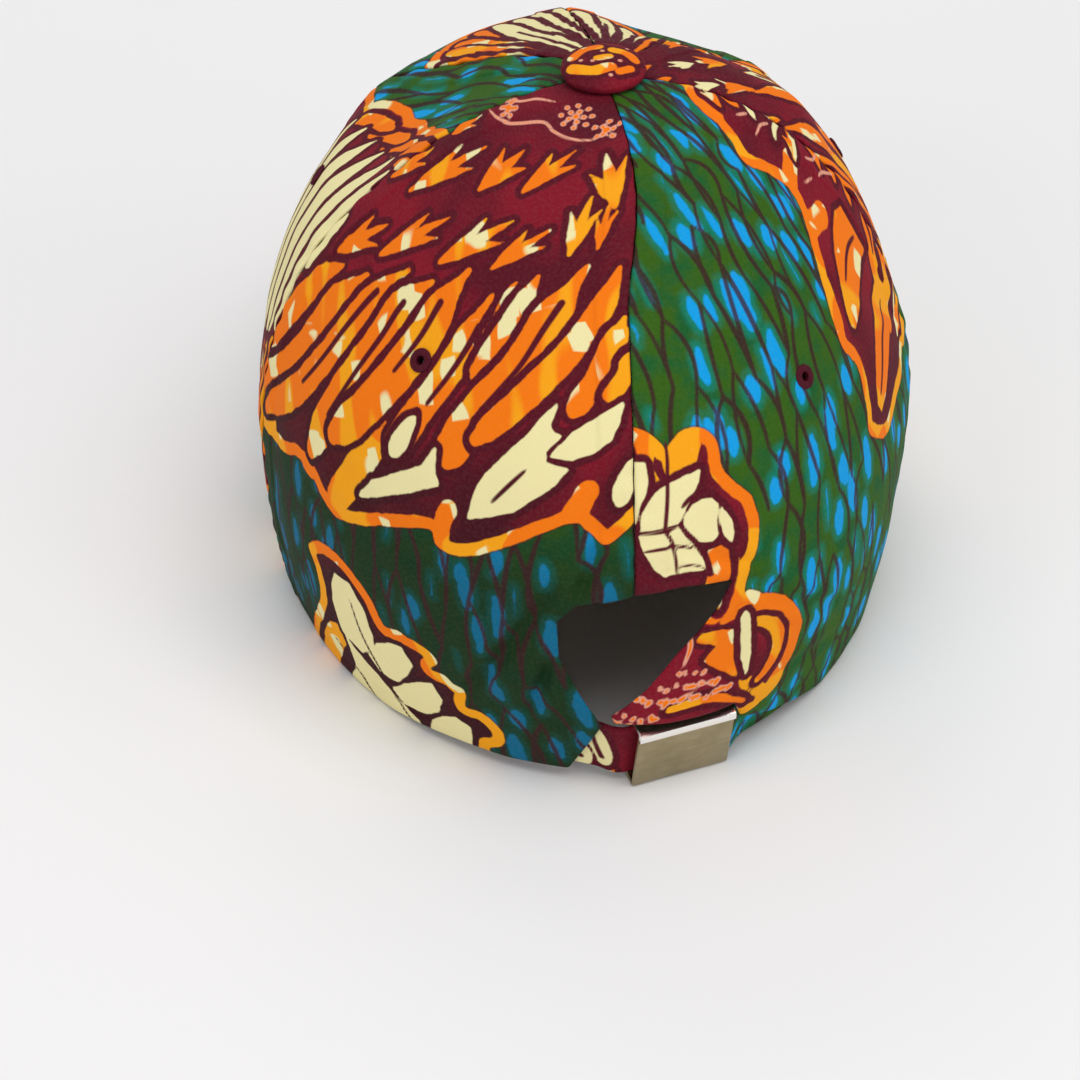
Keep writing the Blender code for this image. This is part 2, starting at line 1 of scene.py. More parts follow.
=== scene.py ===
import math
import bmesh
import bpy
import numpy as np
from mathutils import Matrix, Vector


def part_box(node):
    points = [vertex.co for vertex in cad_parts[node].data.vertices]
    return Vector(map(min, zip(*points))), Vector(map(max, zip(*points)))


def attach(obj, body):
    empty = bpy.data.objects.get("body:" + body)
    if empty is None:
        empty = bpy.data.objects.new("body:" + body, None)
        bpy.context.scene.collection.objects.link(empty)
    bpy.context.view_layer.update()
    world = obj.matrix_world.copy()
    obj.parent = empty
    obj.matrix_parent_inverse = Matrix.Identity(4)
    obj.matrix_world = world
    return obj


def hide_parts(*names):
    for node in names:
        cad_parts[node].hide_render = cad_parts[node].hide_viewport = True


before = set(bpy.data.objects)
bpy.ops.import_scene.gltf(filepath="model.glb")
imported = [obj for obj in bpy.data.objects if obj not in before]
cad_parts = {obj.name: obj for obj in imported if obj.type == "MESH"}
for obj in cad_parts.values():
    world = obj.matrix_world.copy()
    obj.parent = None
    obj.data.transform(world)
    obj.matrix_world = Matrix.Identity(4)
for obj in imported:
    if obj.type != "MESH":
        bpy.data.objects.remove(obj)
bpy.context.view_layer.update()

# Lengths are millimetres in the tables and metres once a mesh is made
mm = 0.001


def named(columns, *rows):
    # a table's rows as dictionaries with the names of its columns
    return [dict(zip(columns.split(), row)) for row in rows]


# The crown, with the same sizes as the model it dresses
crown = dict(
    rimHalfWidth=78, rimHalfLength=98, height=140, bulge=0.085, shoulder=3.95, rimRoundness=1.88,
    roundFrom=0.45, leanRight=-5.4, leanFront=-4.5, leanPower=3.0, facetAtRim=0.03, facetAtTop=0.35,
    core=0.4, topHole=3.0, frontArch=18, frontArchHalf=76, undentedTop=0.02, seamGap=0.35,
    normalStep=0.002, highestNormal=0.9999,
)
dents = named(
    "angle rise angleReach riseReach depth",
    (144, 0.88, 36, 0.13, 8),
    (190, 0.94, 60, 0.11, 4),
    (248, 0.885, 42, 0.15, 7.5),
    (98, 0.88, 16, 0.09, -2.5),
    (78, 0.66, 40, 0.3, 2.2),
    (318, 0.74, 22, 0.16, 1),
    (36, 0.3, 20, 0.2, -1),
    (338, 0.26, 12, 0.14, -1.2),
)
backCorner = dict(
    angle=13, angleReach=24, rise=0.14, riseReach=0.16, standOff=3.4, lap=6.5, top=0.40,
)
backSeam = {"drift": 1.2, "driftTop": 0.85, "topDrift": 9}

# Edges of the opening seen from behind: distance to the right of the middle, height
leftEdge = [
    (-64, -3), (-56, 0.3), (-40, 2.6), (-13.5, 3.4), (-5.8, 20.5), (-11.5, 31), (-16.5, 43),
    (-17, 53.5), (-12.5, 58.5), (1.5, 62),
]
rightEdge = [
    (1.5, 62), (14, 62), (26, 60), (22, 53), (14, 44), (4.5, 33), (-4, 25), (-3, 22.4),
    (27.5, 21.6), (30, 14), (38, 8.5), (62, -4),
]
cutPastSeam = 20

seamAngles = [0, 83, 134, 180, 226, 277, 360]

# The model's origin is under the middle of the whole cap, the crown's formula at its own axis
buttonLow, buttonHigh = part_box("button")
shiftRight = (buttonLow[0] + buttonHigh[0]) / 2 / mm - crown["leanRight"]
shiftBack = (buttonLow[1] + buttonHigh[1]) / 2 / mm - crown["leanFront"]
print("crown axis at", round(shiftRight, 3), round(shiftBack, 3), "mm")


def smoothStep(value):
    value = np.clip(value, 0, 1)
    return value * value * (3 - 2 * value)


def anglesApart(one, other):
    return (one - other + 180) % 360 - 180


def bump(offset, reach):
    return smoothStep(1 - np.abs(offset) / reach)


def unit(vectors):
    return vectors / np.linalg.norm(vectors, axis=-1, keepdims=True)


def crownPoint(angle, rise, corner=False):
    # points of the crown's outer face: degrees round it and share of its height, as arrays
    angle, rise = np.broadcast_arrays(np.asarray(angle, float), np.asarray(rise, float))
    rise = np.clip(rise, 0, 1)
    width = np.sqrt(np.maximum(1 - rise ** crown["shoulder"], 0))
    width = width * (1 + crown["bulge"] * 4 * rise * (1 - rise))
    rounding = np.minimum(rise / crown["roundFrom"], 1)
    power = crown["rimRoundness"] + (2 - crown["rimRoundness"]) * rounding
    turn = np.radians(angle)
    sine = np.sign(np.sin(turn)) * np.abs(np.sin(turn)) ** (2 / power)
    cosine = np.sign(np.cos(turn)) * np.abs(np.cos(turn)) ** (2 / power)
    within = np.clip(np.searchsorted(seamAngles, angle % 360, side="right"), 1, 6)
    low = np.radians(np.take(seamAngles, within - 1))
    high = np.radians(np.take(seamAngles, within))
    chord = np.cos((high - low) / 2) / np.cos(np.radians(angle % 360) - (high + low) / 2)
    amount = crown["facetAtRim"] + (crown["facetAtTop"] - crown["facetAtRim"]) * rise ** 2
    width = width * (1 - amount * (1 - chord))
    lean = rise ** crown["leanPower"]
    point = np.stack([
        -crown["rimHalfWidth"] * sine * width + crown["leanRight"] * lean,
        crown["rimHalfLength"] * cosine * width + crown["leanFront"] * lean,
        crown["height"] * rise,
    ], -1)
    outward = unit(point - np.array([0, 0, crown["height"] * crown["core"]]))
    clearOfButton = smoothStep((1 - rise) / crown["undentedTop"])
    for dent in dents:
        reach = bump(anglesApart(angle, dent["angle"]), dent["angleReach"]) * clearOfButton
        depth = dent["depth"] * reach * bump(rise - dent["rise"], dent["riseReach"])
        point = point - outward * depth[..., None]
    if corner:
        reach = bump(anglesApart(angle, backCorner["angle"]), backCorner["angleReach"])
        reach = reach * bump(rise - backCorner["rise"], backCorner["riseReach"])
        point = point + outward * (backCorner["standOff"] * reach)[..., None]
    return point


def degreeAlong(angle, rise, corner=False):
    # the way from half a degree before to half a degree after points of the crown
    return crownPoint(angle + 0.5, rise, corner) - crownPoint(angle - 0.5, rise, corner)


def crownNormal(angle, rise, corner=False):
    low = np.maximum(rise - crown["normalStep"], 0.0)
    high = np.minimum(rise + crown["normalStep"], crown["highestNormal"])
    along = degreeAlong(angle, rise, corner)
    up = crownPoint(angle, high, corner) - crownPoint(angle, low, corner)
    return unit(np.cross(along, up))


def rimArch(right):
    # share of the front arch's height, from how far to the side a point of the rim lies
    return smoothStep(1 - (np.abs(right) / crown["frontArchHalf"]) ** 2)


def rimHeight(angle):
    right = crownPoint(angle, 0.0)[..., 0]
    flat = (np.cos(np.radians(angle)) > 0) | (np.abs(right) >= crown["frontArchHalf"])
    return np.where(flat, 0.0, crown["frontArch"] * rimArch(right))


def lineLengths(points):
    # lengths along lines of points, from 0 at the first
    steps = np.linalg.norm(np.diff(points, axis=-2), axis=-1)
    start = np.zeros(steps.shape[:-1] + (1,))
    return np.concatenate([start, np.cumsum(steps, axis=-1)], axis=-1)


def segmentDistance(spot, start, end):
    # how far along a segment points lie, as a share, and how far from it
    along = end - start
    share = np.clip((spot - start) @ along / max(along @ along, 1e-9), 0, 1)
    return share, np.linalg.norm(spot - start - share[..., None] * along, axis=-1)


def outlineDistance(spot, outline):
    # distance to a closed outline, minus inside it
    outline = np.asarray(outline, float)
    best = np.full(spot.shape[:-1], np.inf)
    inside = np.zeros(spot.shape[:-1], bool)
    for start, end in zip(outline, np.roll(outline, -1, axis=0)):
        best = np.minimum(best, segmentDistance(spot, start, end)[1])
        crosses = (start[1] > spot[..., 1]) != (end[1] > spot[..., 1])
        if start[1] != end[1]:
            slope = (end[0] - start[0]) / (end[1] - start[1])
            inside ^= crosses & (spot[..., 0] < start[0] + (spot[..., 1] - start[1]) * slope)
    return np.where(inside, -best, best)


def gridFaces(index):
    # quads between the neighbours in a grid of point numbers
    corners = [index[:-1, :-1], index[:-1, 1:], index[1:, 1:], index[1:, :-1]]
    return np.stack(corners, -1).reshape(-1, 4)


def ringFaces(rings, count, closed=False):
    # quads between rings of count points each; closed joins the last ring to the first
    index = np.arange(rings * count).reshape(rings, count)
    index = np.column_stack([index, index[:, 0]])
    if closed:
        index = np.vstack([index, index[:1]])
    return gridFaces(index).tolist()


def addObject(name, data):
    made = bpy.data.objects.new(name, data)
    bpy.context.collection.objects.link(made)
    return made


def addMesh(name, points, faces, materials, attributes=None):
    # points in the crown's own millimetres, attributes as one row of numbers per point
    points = np.asarray(points, float) + np.array([shiftRight, shiftBack, 0])
    mesh = bpy.data.meshes.new(name)
    mesh.from_pydata((points * mm).tolist(), [], faces)
    mesh.update()
    piece = addObject(name, mesh)
    for material in materials:
        mesh.materials.append(material)
    for key, values in (attributes or {}).items():
        values = np.asarray(values, np.float32)
        kind, part = ("FLOAT", "value") if values.ndim == 1 else ("FLOAT_VECTOR", "vector")
        mesh.attributes.new(key, kind, "POINT").data.foreach_set(part, values.ravel())
    mesh.shade_smooth()
    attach(piece, "root")
    return piece


# Print: each motif is drawn on the flat cloth and kept as the distance to it in millimetres
fieldNames = ["zone", "blade", "cream", "ink", "lace", "vein", "drop"]
fieldReach = 8.0
phaseEnd = 6.28    # phases of waves are drawn from 0 to this

blade = dict(
    points=14, gap=2.1, baseWidth=0.15, baseLength=0.24, tipWidth=0.5, tipLength=0.12,
    waveHeight=0.05, waves=9, slitFrom=0.16, slitReach=0.8, slitWidths=(0.85, 0.5), slitAside=0.1,
)
leafShape = dict(points=14, gap=0.9, fullness=0.75, lowness=0.72, ribWidths=(0.65, 0.45))
tuftShape = {
    "widths": np.array([0.35, 0.75, 1.0, 1.0, 0.8, 0.5, 0.15]) * 0.19,
    "prongs": ((-1, 0.8), (0, 1.0), (1, 0.72)),    # side, and share of the tuft's length
    "bend": 0.1,
}
rowStray = dict(widths=(0.9, 1.08), slits=(0.5, 0.95), bends=(0.6, 1.2), lengths=(0.85, 1.15))
border = {"margin": 5.4, "width": 3.2, "prongEdge": 0.8}
outlineGrow = 0.5
laceShape = dict(heart=1.1, dot=0.85, dashStray=0.35, dashLength=0.8, dashTip=0.7)
lineShape = dict(points=14, arcEnds=0.25, arcPower=0.5, ends=0.3, power=0.4)


def curve(points, steps=6, closed=False):
    # a smooth line through given points
    points = np.asarray(points, float)
    count = len(points)
    line = []
    for i in range(count if closed else count - 1):
        before = points[(i - 1) % count] if closed or i > 0 else points[i]
        here = points[i]
        there = points[(i + 1) % count]
        after = points[(i + 2) % count] if closed or i + 2 < count else there
        for step in range(steps):
            t = step / steps
            line.append(0.5 * (2 * here + (there - before) * t
                               + (2 * before - 5 * here + 4 * there - after) * t ** 2
                               + (3 * here - before - 3 * there + after) * t ** 3))
    if not closed:
        line.append(points[-1])
    return np.array(line)


def bow(start, end, bend, count):
    # points of a line from start to end that bends to its left
    start = np.asarray(start, float)
    end = np.asarray(end, float)
    t = np.linspace(0, 1, count)[:, None]
    across = end - start
    left = np.array([-across[1], across[0]]) / np.linalg.norm(across)
    return start + across * t + left * bend * 4 * t * (1 - t)


class ClothPrint:
    # distances of a panel's points to each layer of its print

    def __init__(self, right, up):
        self.place = np.stack([right, up], -1)
        self.fields = {name: np.full(len(right), fieldReach) for name in fieldNames}

    def line(self, layer, path, widths, apart=0.0):
        # apart is the gap it leaves in what the layer already holds
        path = np.asarray(path, float)
        widths = np.broadcast_to(np.asarray(widths, float), len(path))
        low = path.min(0) - fieldReach - widths.max()
        high = path.max(0) + fieldReach + widths.max()
        near = np.nonzero(np.all((self.place > low) & (self.place < high), -1))[0]
        if len(near) == 0:
            return
        spot = self.place[near]
        best = np.full(len(near), fieldReach)
        for start, end, width, nextWidth in zip(path[:-1], path[1:], widths[:-1], widths[1:]):
            share, off = segmentDistance(spot, start, end)
            best = np.minimum(best, off - width - (nextWidth - width) * share)
        field = self.fields[layer]
        if apart:
            field[near] = np.maximum(field[near], apart - best)
        field[near] = np.minimum(field[near], best)

    def dot(self, spot, size):
        self.line("lace", [spot, spot], size)

    def area(self, layer, outline, grow=0.0):
        signed = np.minimum(outlineDistance(self.place, outline) - grow, fieldReach)
        self.fields[layer] = np.minimum(self.fields[layer], np.maximum(signed, -60))

    def feather(self, layer, path, width, slit=0.0, wave=0.0):
        # a blade, pointed at its base and less so at its tip
        t = np.linspace(0, 1, len(path))
        base = smoothStep(t / blade["baseLength"])
        tip = smoothStep((1 - t) / blade["tipLength"])
        shape = blade["baseWidth"] + (1 - blade["baseWidth"]) * base
        shape = shape * (blade["tipWidth"] + (1 - blade["tipWidth"]) * tip)
        shape = shape * (1 + blade["waveHeight"] * np.sin(blade["waves"] * t + wave))
        self.line(layer, path, shape * width / 2, blade["gap"])
        if slit:
            first = int(blade["slitFrom"] * len(path))
            last = int((blade["slitFrom"] + blade["slitReach"] * slit) * len(path))
            side = np.array([width * blade["slitAside"] * math.cos(wave), 0])
            self.line("ink", path[first:last] + side,
                      np.linspace(*blade["slitWidths"], last - first))

    def leaf(self, layer, base, tip, width, bend, rib):
        # a leaf round at its base and pointed at its tip, with a middle rib
        count = leafShape["points"]
        path = bow(base, tip, bend, count)
        t = np.linspace(0, 1, count)
        shape = np.sin(np.pi * t ** leafShape["lowness"]) ** leafShape["fullness"]
        self.line(layer, path, np.maximum(shape * width / 2, 0.1), leafShape["gap"])
        if rib:
            last = 2 + int((count - 3) * rib)
            self.line("ink", path[2:last], np.linspace(*leafShape["ribWidths"], last - 2))

    def tuft(self, layer, base, tip, width):
        # three pointed prongs that part from one foot
        base = np.asarray(base, float)
        along = np.asarray(tip, float) - base
        across = np.array([-along[1], along[0]]) / np.linalg.norm(along)
        for side, share in tuftShape["prongs"]:
            end = base + along * share + across * side * width * 0.5
            path = bow(base, end, side * width * -tuftShape["bend"], len(tuftShape["widths"]))
            self.line(layer, path, tuftShape["widths"] * width)

    def rosette(self, centre, radius, dots):
        self.dot(centre, laceShape["heart"])
        for ring, share in ((dots, 1.0), (dots // 2 + 1, 0.5)):
            for i in range(ring):
                turn = 2 * math.pi * (i + share / 2) / ring
                spot = np.array([math.cos(turn), math.sin(turn)]) * radius * share
                self.dot(spot + centre, laceShape["dot"])

    def arc(self, layer, centre, radius, start, end, width):
        turn = np.radians(np.linspace(start, end, lineShape["points"]))
        path = np.array(centre) + radius * np.stack([np.cos(turn), np.sin(turn)], -1)
        ends = lineShape["arcEnds"]
        taper = np.sin(np.linspace(ends, math.pi - ends, len(path))) ** lineShape["arcPower"]
        self.line(layer, path, width / 2 * taper)

    def stroke(self, layer, width, path):
        path = curve(path)
        taper = np.sin(np.linspace(0, math.pi, len(path))) ** lineShape["power"]
        taper = lineShape["ends"] + (1 - lineShape["ends"]) * taper
        self.line(layer, path, taper * width / 2)


def drawFeatherRow(cloth, row, seeds):
    # feathers side by side between a line of bases and a line of tips
    bases = bow(row["baseStart"], row["baseEnd"], row["baseBend"], row["count"])
    tips = bow(row["tipStart"], row["tipEnd"], row["tipBend"], row["count"])
    for i, (base, tip) in enumerate(zip(bases, tips)):
        stagger = np.array([0, row.get("stagger", 0) * (i % 2)])
        base = base + seeds.normal(0, row["stray"], 2) + stagger
        tip = tip + seeds.normal(0, row["stray"], 2)
        width = row["width"] * seeds.uniform(*rowStray["widths"])
        slit = seeds.uniform(*rowStray["slits"]) if seeds.random() < row["slits"] else 0
        bend = row["bend"] * seeds.uniform(*rowStray["bends"])
        path = bow(base, tip, bend, blade["points"])
        cloth.feather(row["layer"], path, width, slit, seeds.uniform(0, phaseEnd))


def drawTuftRow(cloth, row, seeds):
    for spot in bow(row["start"], row["end"], row["bend"], row["count"]):
        spot = spot + seeds.normal(0, 0.7, 2)
        direction = math.radians(row["direction"] + seeds.normal(0, 5))
        length = row["length"] * seeds.uniform(*rowStray["lengths"])
        tip = spot + length * np.array([math.cos(direction), math.sin(direction)])
        cloth.tuft(row["layer"], spot, tip, row["width"])


def drawGround(cloth, ground, seeds):
    # a net of wavy veins with a long drop in most of its meshes
    low = cloth.place.min(0) - 20
    high = cloth.place.max(0) + 20
    size = high - low
    middle = (low[0] + high[0]) / 2
    wide = ground["meshWidth"]
    tall = ground["meshHeight"]

    def laid(right, up):
        # the net is drawn in towards the top and leans
        gather = 1 - ground["gather"] * (up - low[1]) / size[1]
        return np.array([middle + (right - middle) * gather + ground["lean"] * (up - low[1]), up])

    knots = {}
    for row in range(int(size[1] / tall) + 2):
        for column in range(-3, int(size[0] * 1.6 / wide) + 3):
            right = low[0] - size[0] * 0.3 + (column + 0.5 * (row % 2)) * wide
            right += seeds.normal(0, wide * ground["strayRight"])
            up = low[1] + row * tall + seeds.normal(0, tall * ground["strayUp"])
            knots[row, column] = laid(right, up)
    for (row, column), knot in knots.items():
        for step in (0, 1):
            other = knots.get((row + 1, column + step - (1 - row % 2)))
            if other is None or seeds.random() < ground["missing"]:
                continue
            bend = seeds.normal(0, 1.0) + ground["veinBow"] * (2 * step - 1)
            width = ground["veinWidth"] * seeds.uniform(*ground["veinWidths"])
            swell = 0.75 + 0.3 * np.sin(np.linspace(0, math.pi, 7))
            cloth.line("vein", bow(knot, other, bend, 7), width * swell)
        above = knots.get((row + 2, column))
        if above is None or seeds.random() > ground["dropShare"]:
            continue
        spot = (knot + above) / 2 + seeds.normal(0, 1, 2) * (wide, tall) * ground["dropStray"]
        direction = unit(above - knot)
        spots = [spot]
        if seeds.random() < ground["dropPairs"]:
            apart = direction * tall * seeds.uniform(*ground["pairApart"])
            spots = [spot - apart, spot + apart]
        for spot in spots:
            length = ground["dropLength"] * seeds.uniform(*ground["dropLengths"])
            reach = direction * length / 2
            width = ground["dropWidth"] * seeds.uniform(*ground["dropWidths"])
            if seeds.random() < ground["paleDrops"]:
                width = width * ground["paleWidth"]
            path = bow(spot - reach, spot + reach, seeds.normal(0, 0.3), 4)
            cloth.line("drop", path, width * np.array(ground["dropShape"]))


def drawPrint(cloth, design, seed):
    seeds = np.random.default_rng(seed)

    def rows(kind):
        return named(columns[kind], *design.get(kind, []))

    cloth.fields["prong"] = np.full(len(cloth.place), fieldReach)
    drawGround(cloth, design["ground"], seeds)
    for outline in design.get("zones", []):
        cloth.area("zone", curve(outline, 5, closed=True))
    for row in rows("featherRows"):
        drawFeatherRow(cloth, row, seeds)
    for row in rows("feathers"):
        path = curve(row["path"], 4)
        wave = seeds.uniform(0, phaseEnd)
        cloth.feather(row["layer"], path, row["width"], row.get("slit", 0), wave)
    for row in rows("tuftRows"):
        drawTuftRow(cloth, row, seeds)
    for row in rows("tufts"):
        cloth.tuft("blade", **row)
    for outline in design.get("flameShapes", []):
        cloth.area("blade", outline, outlineGrow)
    for outline in design.get("creamShapes", []):
        cloth.area("cream", outline, outlineGrow)
    for row in rows("leaves"):
        cloth.leaf("cream", **row)
    for row in rows("lines"):
        cloth.stroke(**row)
    for row in rows("arcs"):
        cloth.arc(**row)
    for row in rows("rosettes"):
        cloth.rosette(**row)
    for row in rows("dotRows"):
        for spot in bow(row["start"], row["end"], row["bend"], row["count"]):
            spot = spot + seeds.normal(0, laceShape["dashStray"], 2)
            tip = spot + seeds.normal(0, laceShape["dashLength"], 2)
            cloth.line("lace", [spot, tip], [row["size"], row["size"] * laceShape["dashTip"]])
    # the border runs round every motif that reaches over the edge of its zone
    fields = cloth.fields
    motifs = np.minimum(fields["blade"], fields["cream"])
    zone = np.minimum(fields["zone"], motifs - design.get("border", border["margin"]))
    # a prong is a part of the border that runs into its zone
    prong = np.minimum(-border["width"] - fields.pop("prong"), -border["prongEdge"])
    fields["zone"] = np.maximum(zone, prong)
    full, none = design.get("deepFrom", (-300, -200))    # heights of the darkest painted shade and of plain cloth
    # painted shade, darker towards the rim, as a share from 0 to 1
    fields["deep"] = smoothStep((none - cloth.place[:, 1]) / (none - full))
    return fields


# What lies where on each panel's flat cloth: to the right of its middle, up from its rim
greenGround = dict(
    lean=-0.03, gather=0.62, meshWidth=8.6, meshHeight=18.5, strayRight=0.13, strayUp=0.14,
    missing=0.24, veinWidth=0.52, veinWidths=(0.7, 1.25), veinBow=1.3, dropShare=0.78,
    dropStray=(0.07, 0.22), dropPairs=0.32, pairApart=(0.36, 0.5), paleDrops=0.34, paleWidth=0.25,
    dropLength=9.0, dropLengths=(0.4, 1.15), dropWidth=4.6, dropWidths=(0.6, 1.1),
    dropShape=(0.34, 0.5, 0.48, 0.28),
)

# Columns of the designs' tables; those left out at a row's end have their usual value
columns = {
    "feathers": "layer width path slit",
    "tufts": "base tip width",
    "leaves": "base tip width bend rib",
    "lines": "layer width path",
    "arcs": "layer centre radius start end width",
    "rosettes": "centre radius dots",
    "featherRows": "layer baseStart baseEnd baseBend tipStart tipEnd tipBend count width bend "
                   "stray slits stagger",
    "tuftRows": "layer start end bend count direction length width",
    "dotRows": "start end bend count size",
}
designs = {}
designs["panelBackLeft"] = dict(
    ground=dict(greenGround, lean=-0.12, gather=0.3),
    # painted shade towards this panel's rim: darkest below 55 mm, none above 110 mm
    deepFrom=(55, 110),
    border=5.0,
    zones=[
        [(-90, 44), (-71, 53), (-60, 56), (-50, 58.5), (-42, 62), (-34, 61.5), (-29, 58.5),
         (-22, 57), (-12, 60.5), (-2, 65), (9.5, 69.5), (12, 66.5), (17, 65.5), (23, 67.5),
         (30, 71.5), (39, 77.5), (45.5, 81), (49, 79.5), (53.5, 76.5), (57, 79), (66, 92),
         (80, 110), (80, 214), (-90, 214)],
        [(-45, 2), (-41, 11), (-36.5, 18), (-33, 26), (-34, 34), (-37, 39), (-31, 44), (-23, 46),
         (-15, 44), (-9, 40), (-4.5, 33.5), (0, 34.5), (9, 34), (12.5, 31), (10, 27), (15.5, 27),
         (19.5, 23), (19.5, 18.5), (24, 18.5), (29, 13.5), (28.5, 8), (23, 3.5), (20, -10),
         (-46, -10)],
    ],
    feathers=[
        ("cream", 4, [(-50, 121), (-55, 112), (-59, 103)]),
        ("blade", 6.8, [(-42, 112), (-50, 104), (-57, 95), (-62, 88), (-69, 78)]),
        ("blade", 8.8, [(-31, 115), (-40, 104), (-46, 93), (-51, 84), (-58, 76), (-71, 66)]),
        ("blade", 7.7, [(-18, 123), (-25, 114), (-31, 103), (-37, 92), (-43, 83), (-51, 74),
         (-66, 62)], 0.7),
        ("blade", 9.5, [(-9.5, 124), (-15.5, 116), (-18.8, 106), (-23, 96), (-27, 87), (-31.5, 78),
         (-36, 68)], 0.8),
        ("blade", 9.7, [(-1, 131), (-4, 121), (-6, 112), (-9.5, 103), (-14, 94), (-20, 85),
         (-27, 77)], 0.5),
        ("blade", 7.9, [(8, 128), (6.5, 117), (4, 107), (0.5, 98), (-2.5, 90), (-5.5, 83)], 0.6),
        ("blade", 3.5, [(12.5, 133), (12, 124), (10.6, 117)]),
        ("blade", 5.5, [(17, 136), (15.8, 125), (13.7, 117), (11.4, 109)]),
        ("blade", 9.7, [(27, 141), (25.2, 131), (23.8, 124), (22, 115), (19, 108), (15, 100),
         (12.2, 93), (11.2, 88)], 0.7),
        ("blade", 6.8, [(34.5, 142), (35, 134), (34, 127), (31.6, 119), (27.6, 111), (22, 102),
         (17, 95)]),
        ("blade", 6.1, [(41, 130), (41.3, 121), (40.5, 115), (38.5, 107)]),
        ("blade", 4.4, [(46, 122), (47, 117), (45.5, 111)]),
        ("prong", 8.4, [(-9.4, 88.5), (-12.6, 80), (-17.5, 71), (-24, 60)]),
        ("prong", 4.8, [(14.9, 78), (13.2, 74), (13, 67)]),
        ("prong", 5.8, [(47.3, 90.5), (46.2, 86), (44, 79)]),
        ("prong", 7, [(-64, 66), (-62, 60), (-60, 54)]),
        ("prong", 8, [(-25, 17.5), (-28.5, 13), (-32.5, 6), (-36.5, -5)]),
    ],
    tufts=[
        ((-31, 138), (-15, 160), 8),
        ((-9.5, 150), (-4, 165.5), 8.5),
        ((2, 155), (8.5, 171), 7),
        ((21.5, 143), (19, 159), 7),
        ((-30, 121), (-13, 140), 7),
        ((-10, 129), (4, 147), 8),
        ((4.5, 134), (14, 148), 6.5),
        ((-47, 113), (-32, 128), 7.5),
        ((27, 146), (24, 158), 4.5),
        ((-29, 156), (-23, 165.5), 5),
        ((25.5, 157.5), (16, 171.5), 8.5),
        ((-41, 136.5), (-32.5, 150), 7),
    ],
    creamShapes=[
        [(19.8, 76.4), (20.4, 82.8), (22.4, 88.3), (26.9, 95.3), (29.8, 99.3), (31.6, 103.5),
         (33.8, 107.6), (33.7, 102.8), (35.2, 100.8), (37, 100.7), (34.4, 97), (35.4, 94),
         (40.8, 93.3), (38.9, 89.5), (34.4, 85), (30.4, 81.3), (24.4, 78.3)],
        [(36.6, 96), (39.9, 101.9), (44.4, 106), (48.7, 110), (49.3, 105.8), (48.8, 101.8),
         (46.2, 98.6), (41.4, 96.1)],
        [(-13.8, 67.8), (-9.6, 73.6), (-5.4, 76.3), (-1, 79.8), (4.4, 83.3), (7.1, 89), (8.4, 83.3),
         (10, 81.2), (6.4, 79.3), (-0.1, 75.3), (-4.6, 72.8), (-10.6, 69.3)],
        [(-23.5, 38.5), (-17.5, 39), (-12.5, 34.5), (-9.8, 27), (-10, 22.5), (-16, 17), (-24, 18.5),
         (-26.3, 27), (-25.5, 34)],
        [(-8, 25), (-3.5, 28), (0.8, 29.3), (3.6, 25), (1, 19.5), (-3, 15), (-9, 14.5),
         (-12.5, 18)],
        [(1, 16), (5, 19), (9.3, 21), (11.8, 17), (10.3, 12), (6, 8.5), (-1, 7.5), (-4.5, 11)],
        [(8, 6.5), (11.5, 10), (16, 12.3), (19.7, 10.8), (19, 5), (17, -8), (5, -8)],
        [(-22.5, 17), (-18, 14.5), (-8, 10), (2.5, 3.5), (5, -8), (-29, -8), (-24, 0), (-20, 8)],
    ],
    leaves=[
        ((55, 86.5), (55.5, 98), 5, 0, 0),
        ((-5.2, 82.5), (-0.8, 94.5), 5.2, 0, 0),
    ],
    lines=[
        ("lace", 1, [(-24, 168.4), (-19, 167.4), (-14, 168.5), (-10, 171), (-4, 175), (0, 174),
         (5, 173.7), (10, 175), (14, 178)]),
        ("lace", 0.8, [(-20, 172.6), (-15, 175), (-11, 179), (-5, 182)]),
        ("ink", 1, [(31.4, 91.5), (28, 86.5), (24.8, 81.7)]),
        ("ink", 0.9, [(-18, 34), (-14, 24), (-7, 12), (3, -2)]),
        ("ink", 0.9, [(-30, 12), (-18, 5), (-8, -6)]),
    ],
    rosettes=[
        ((2.6, 181), 4, 8),
        ((-16.5, 171.8), 2.6, 6),
        ((12, 179), 3, 5),
    ],
)
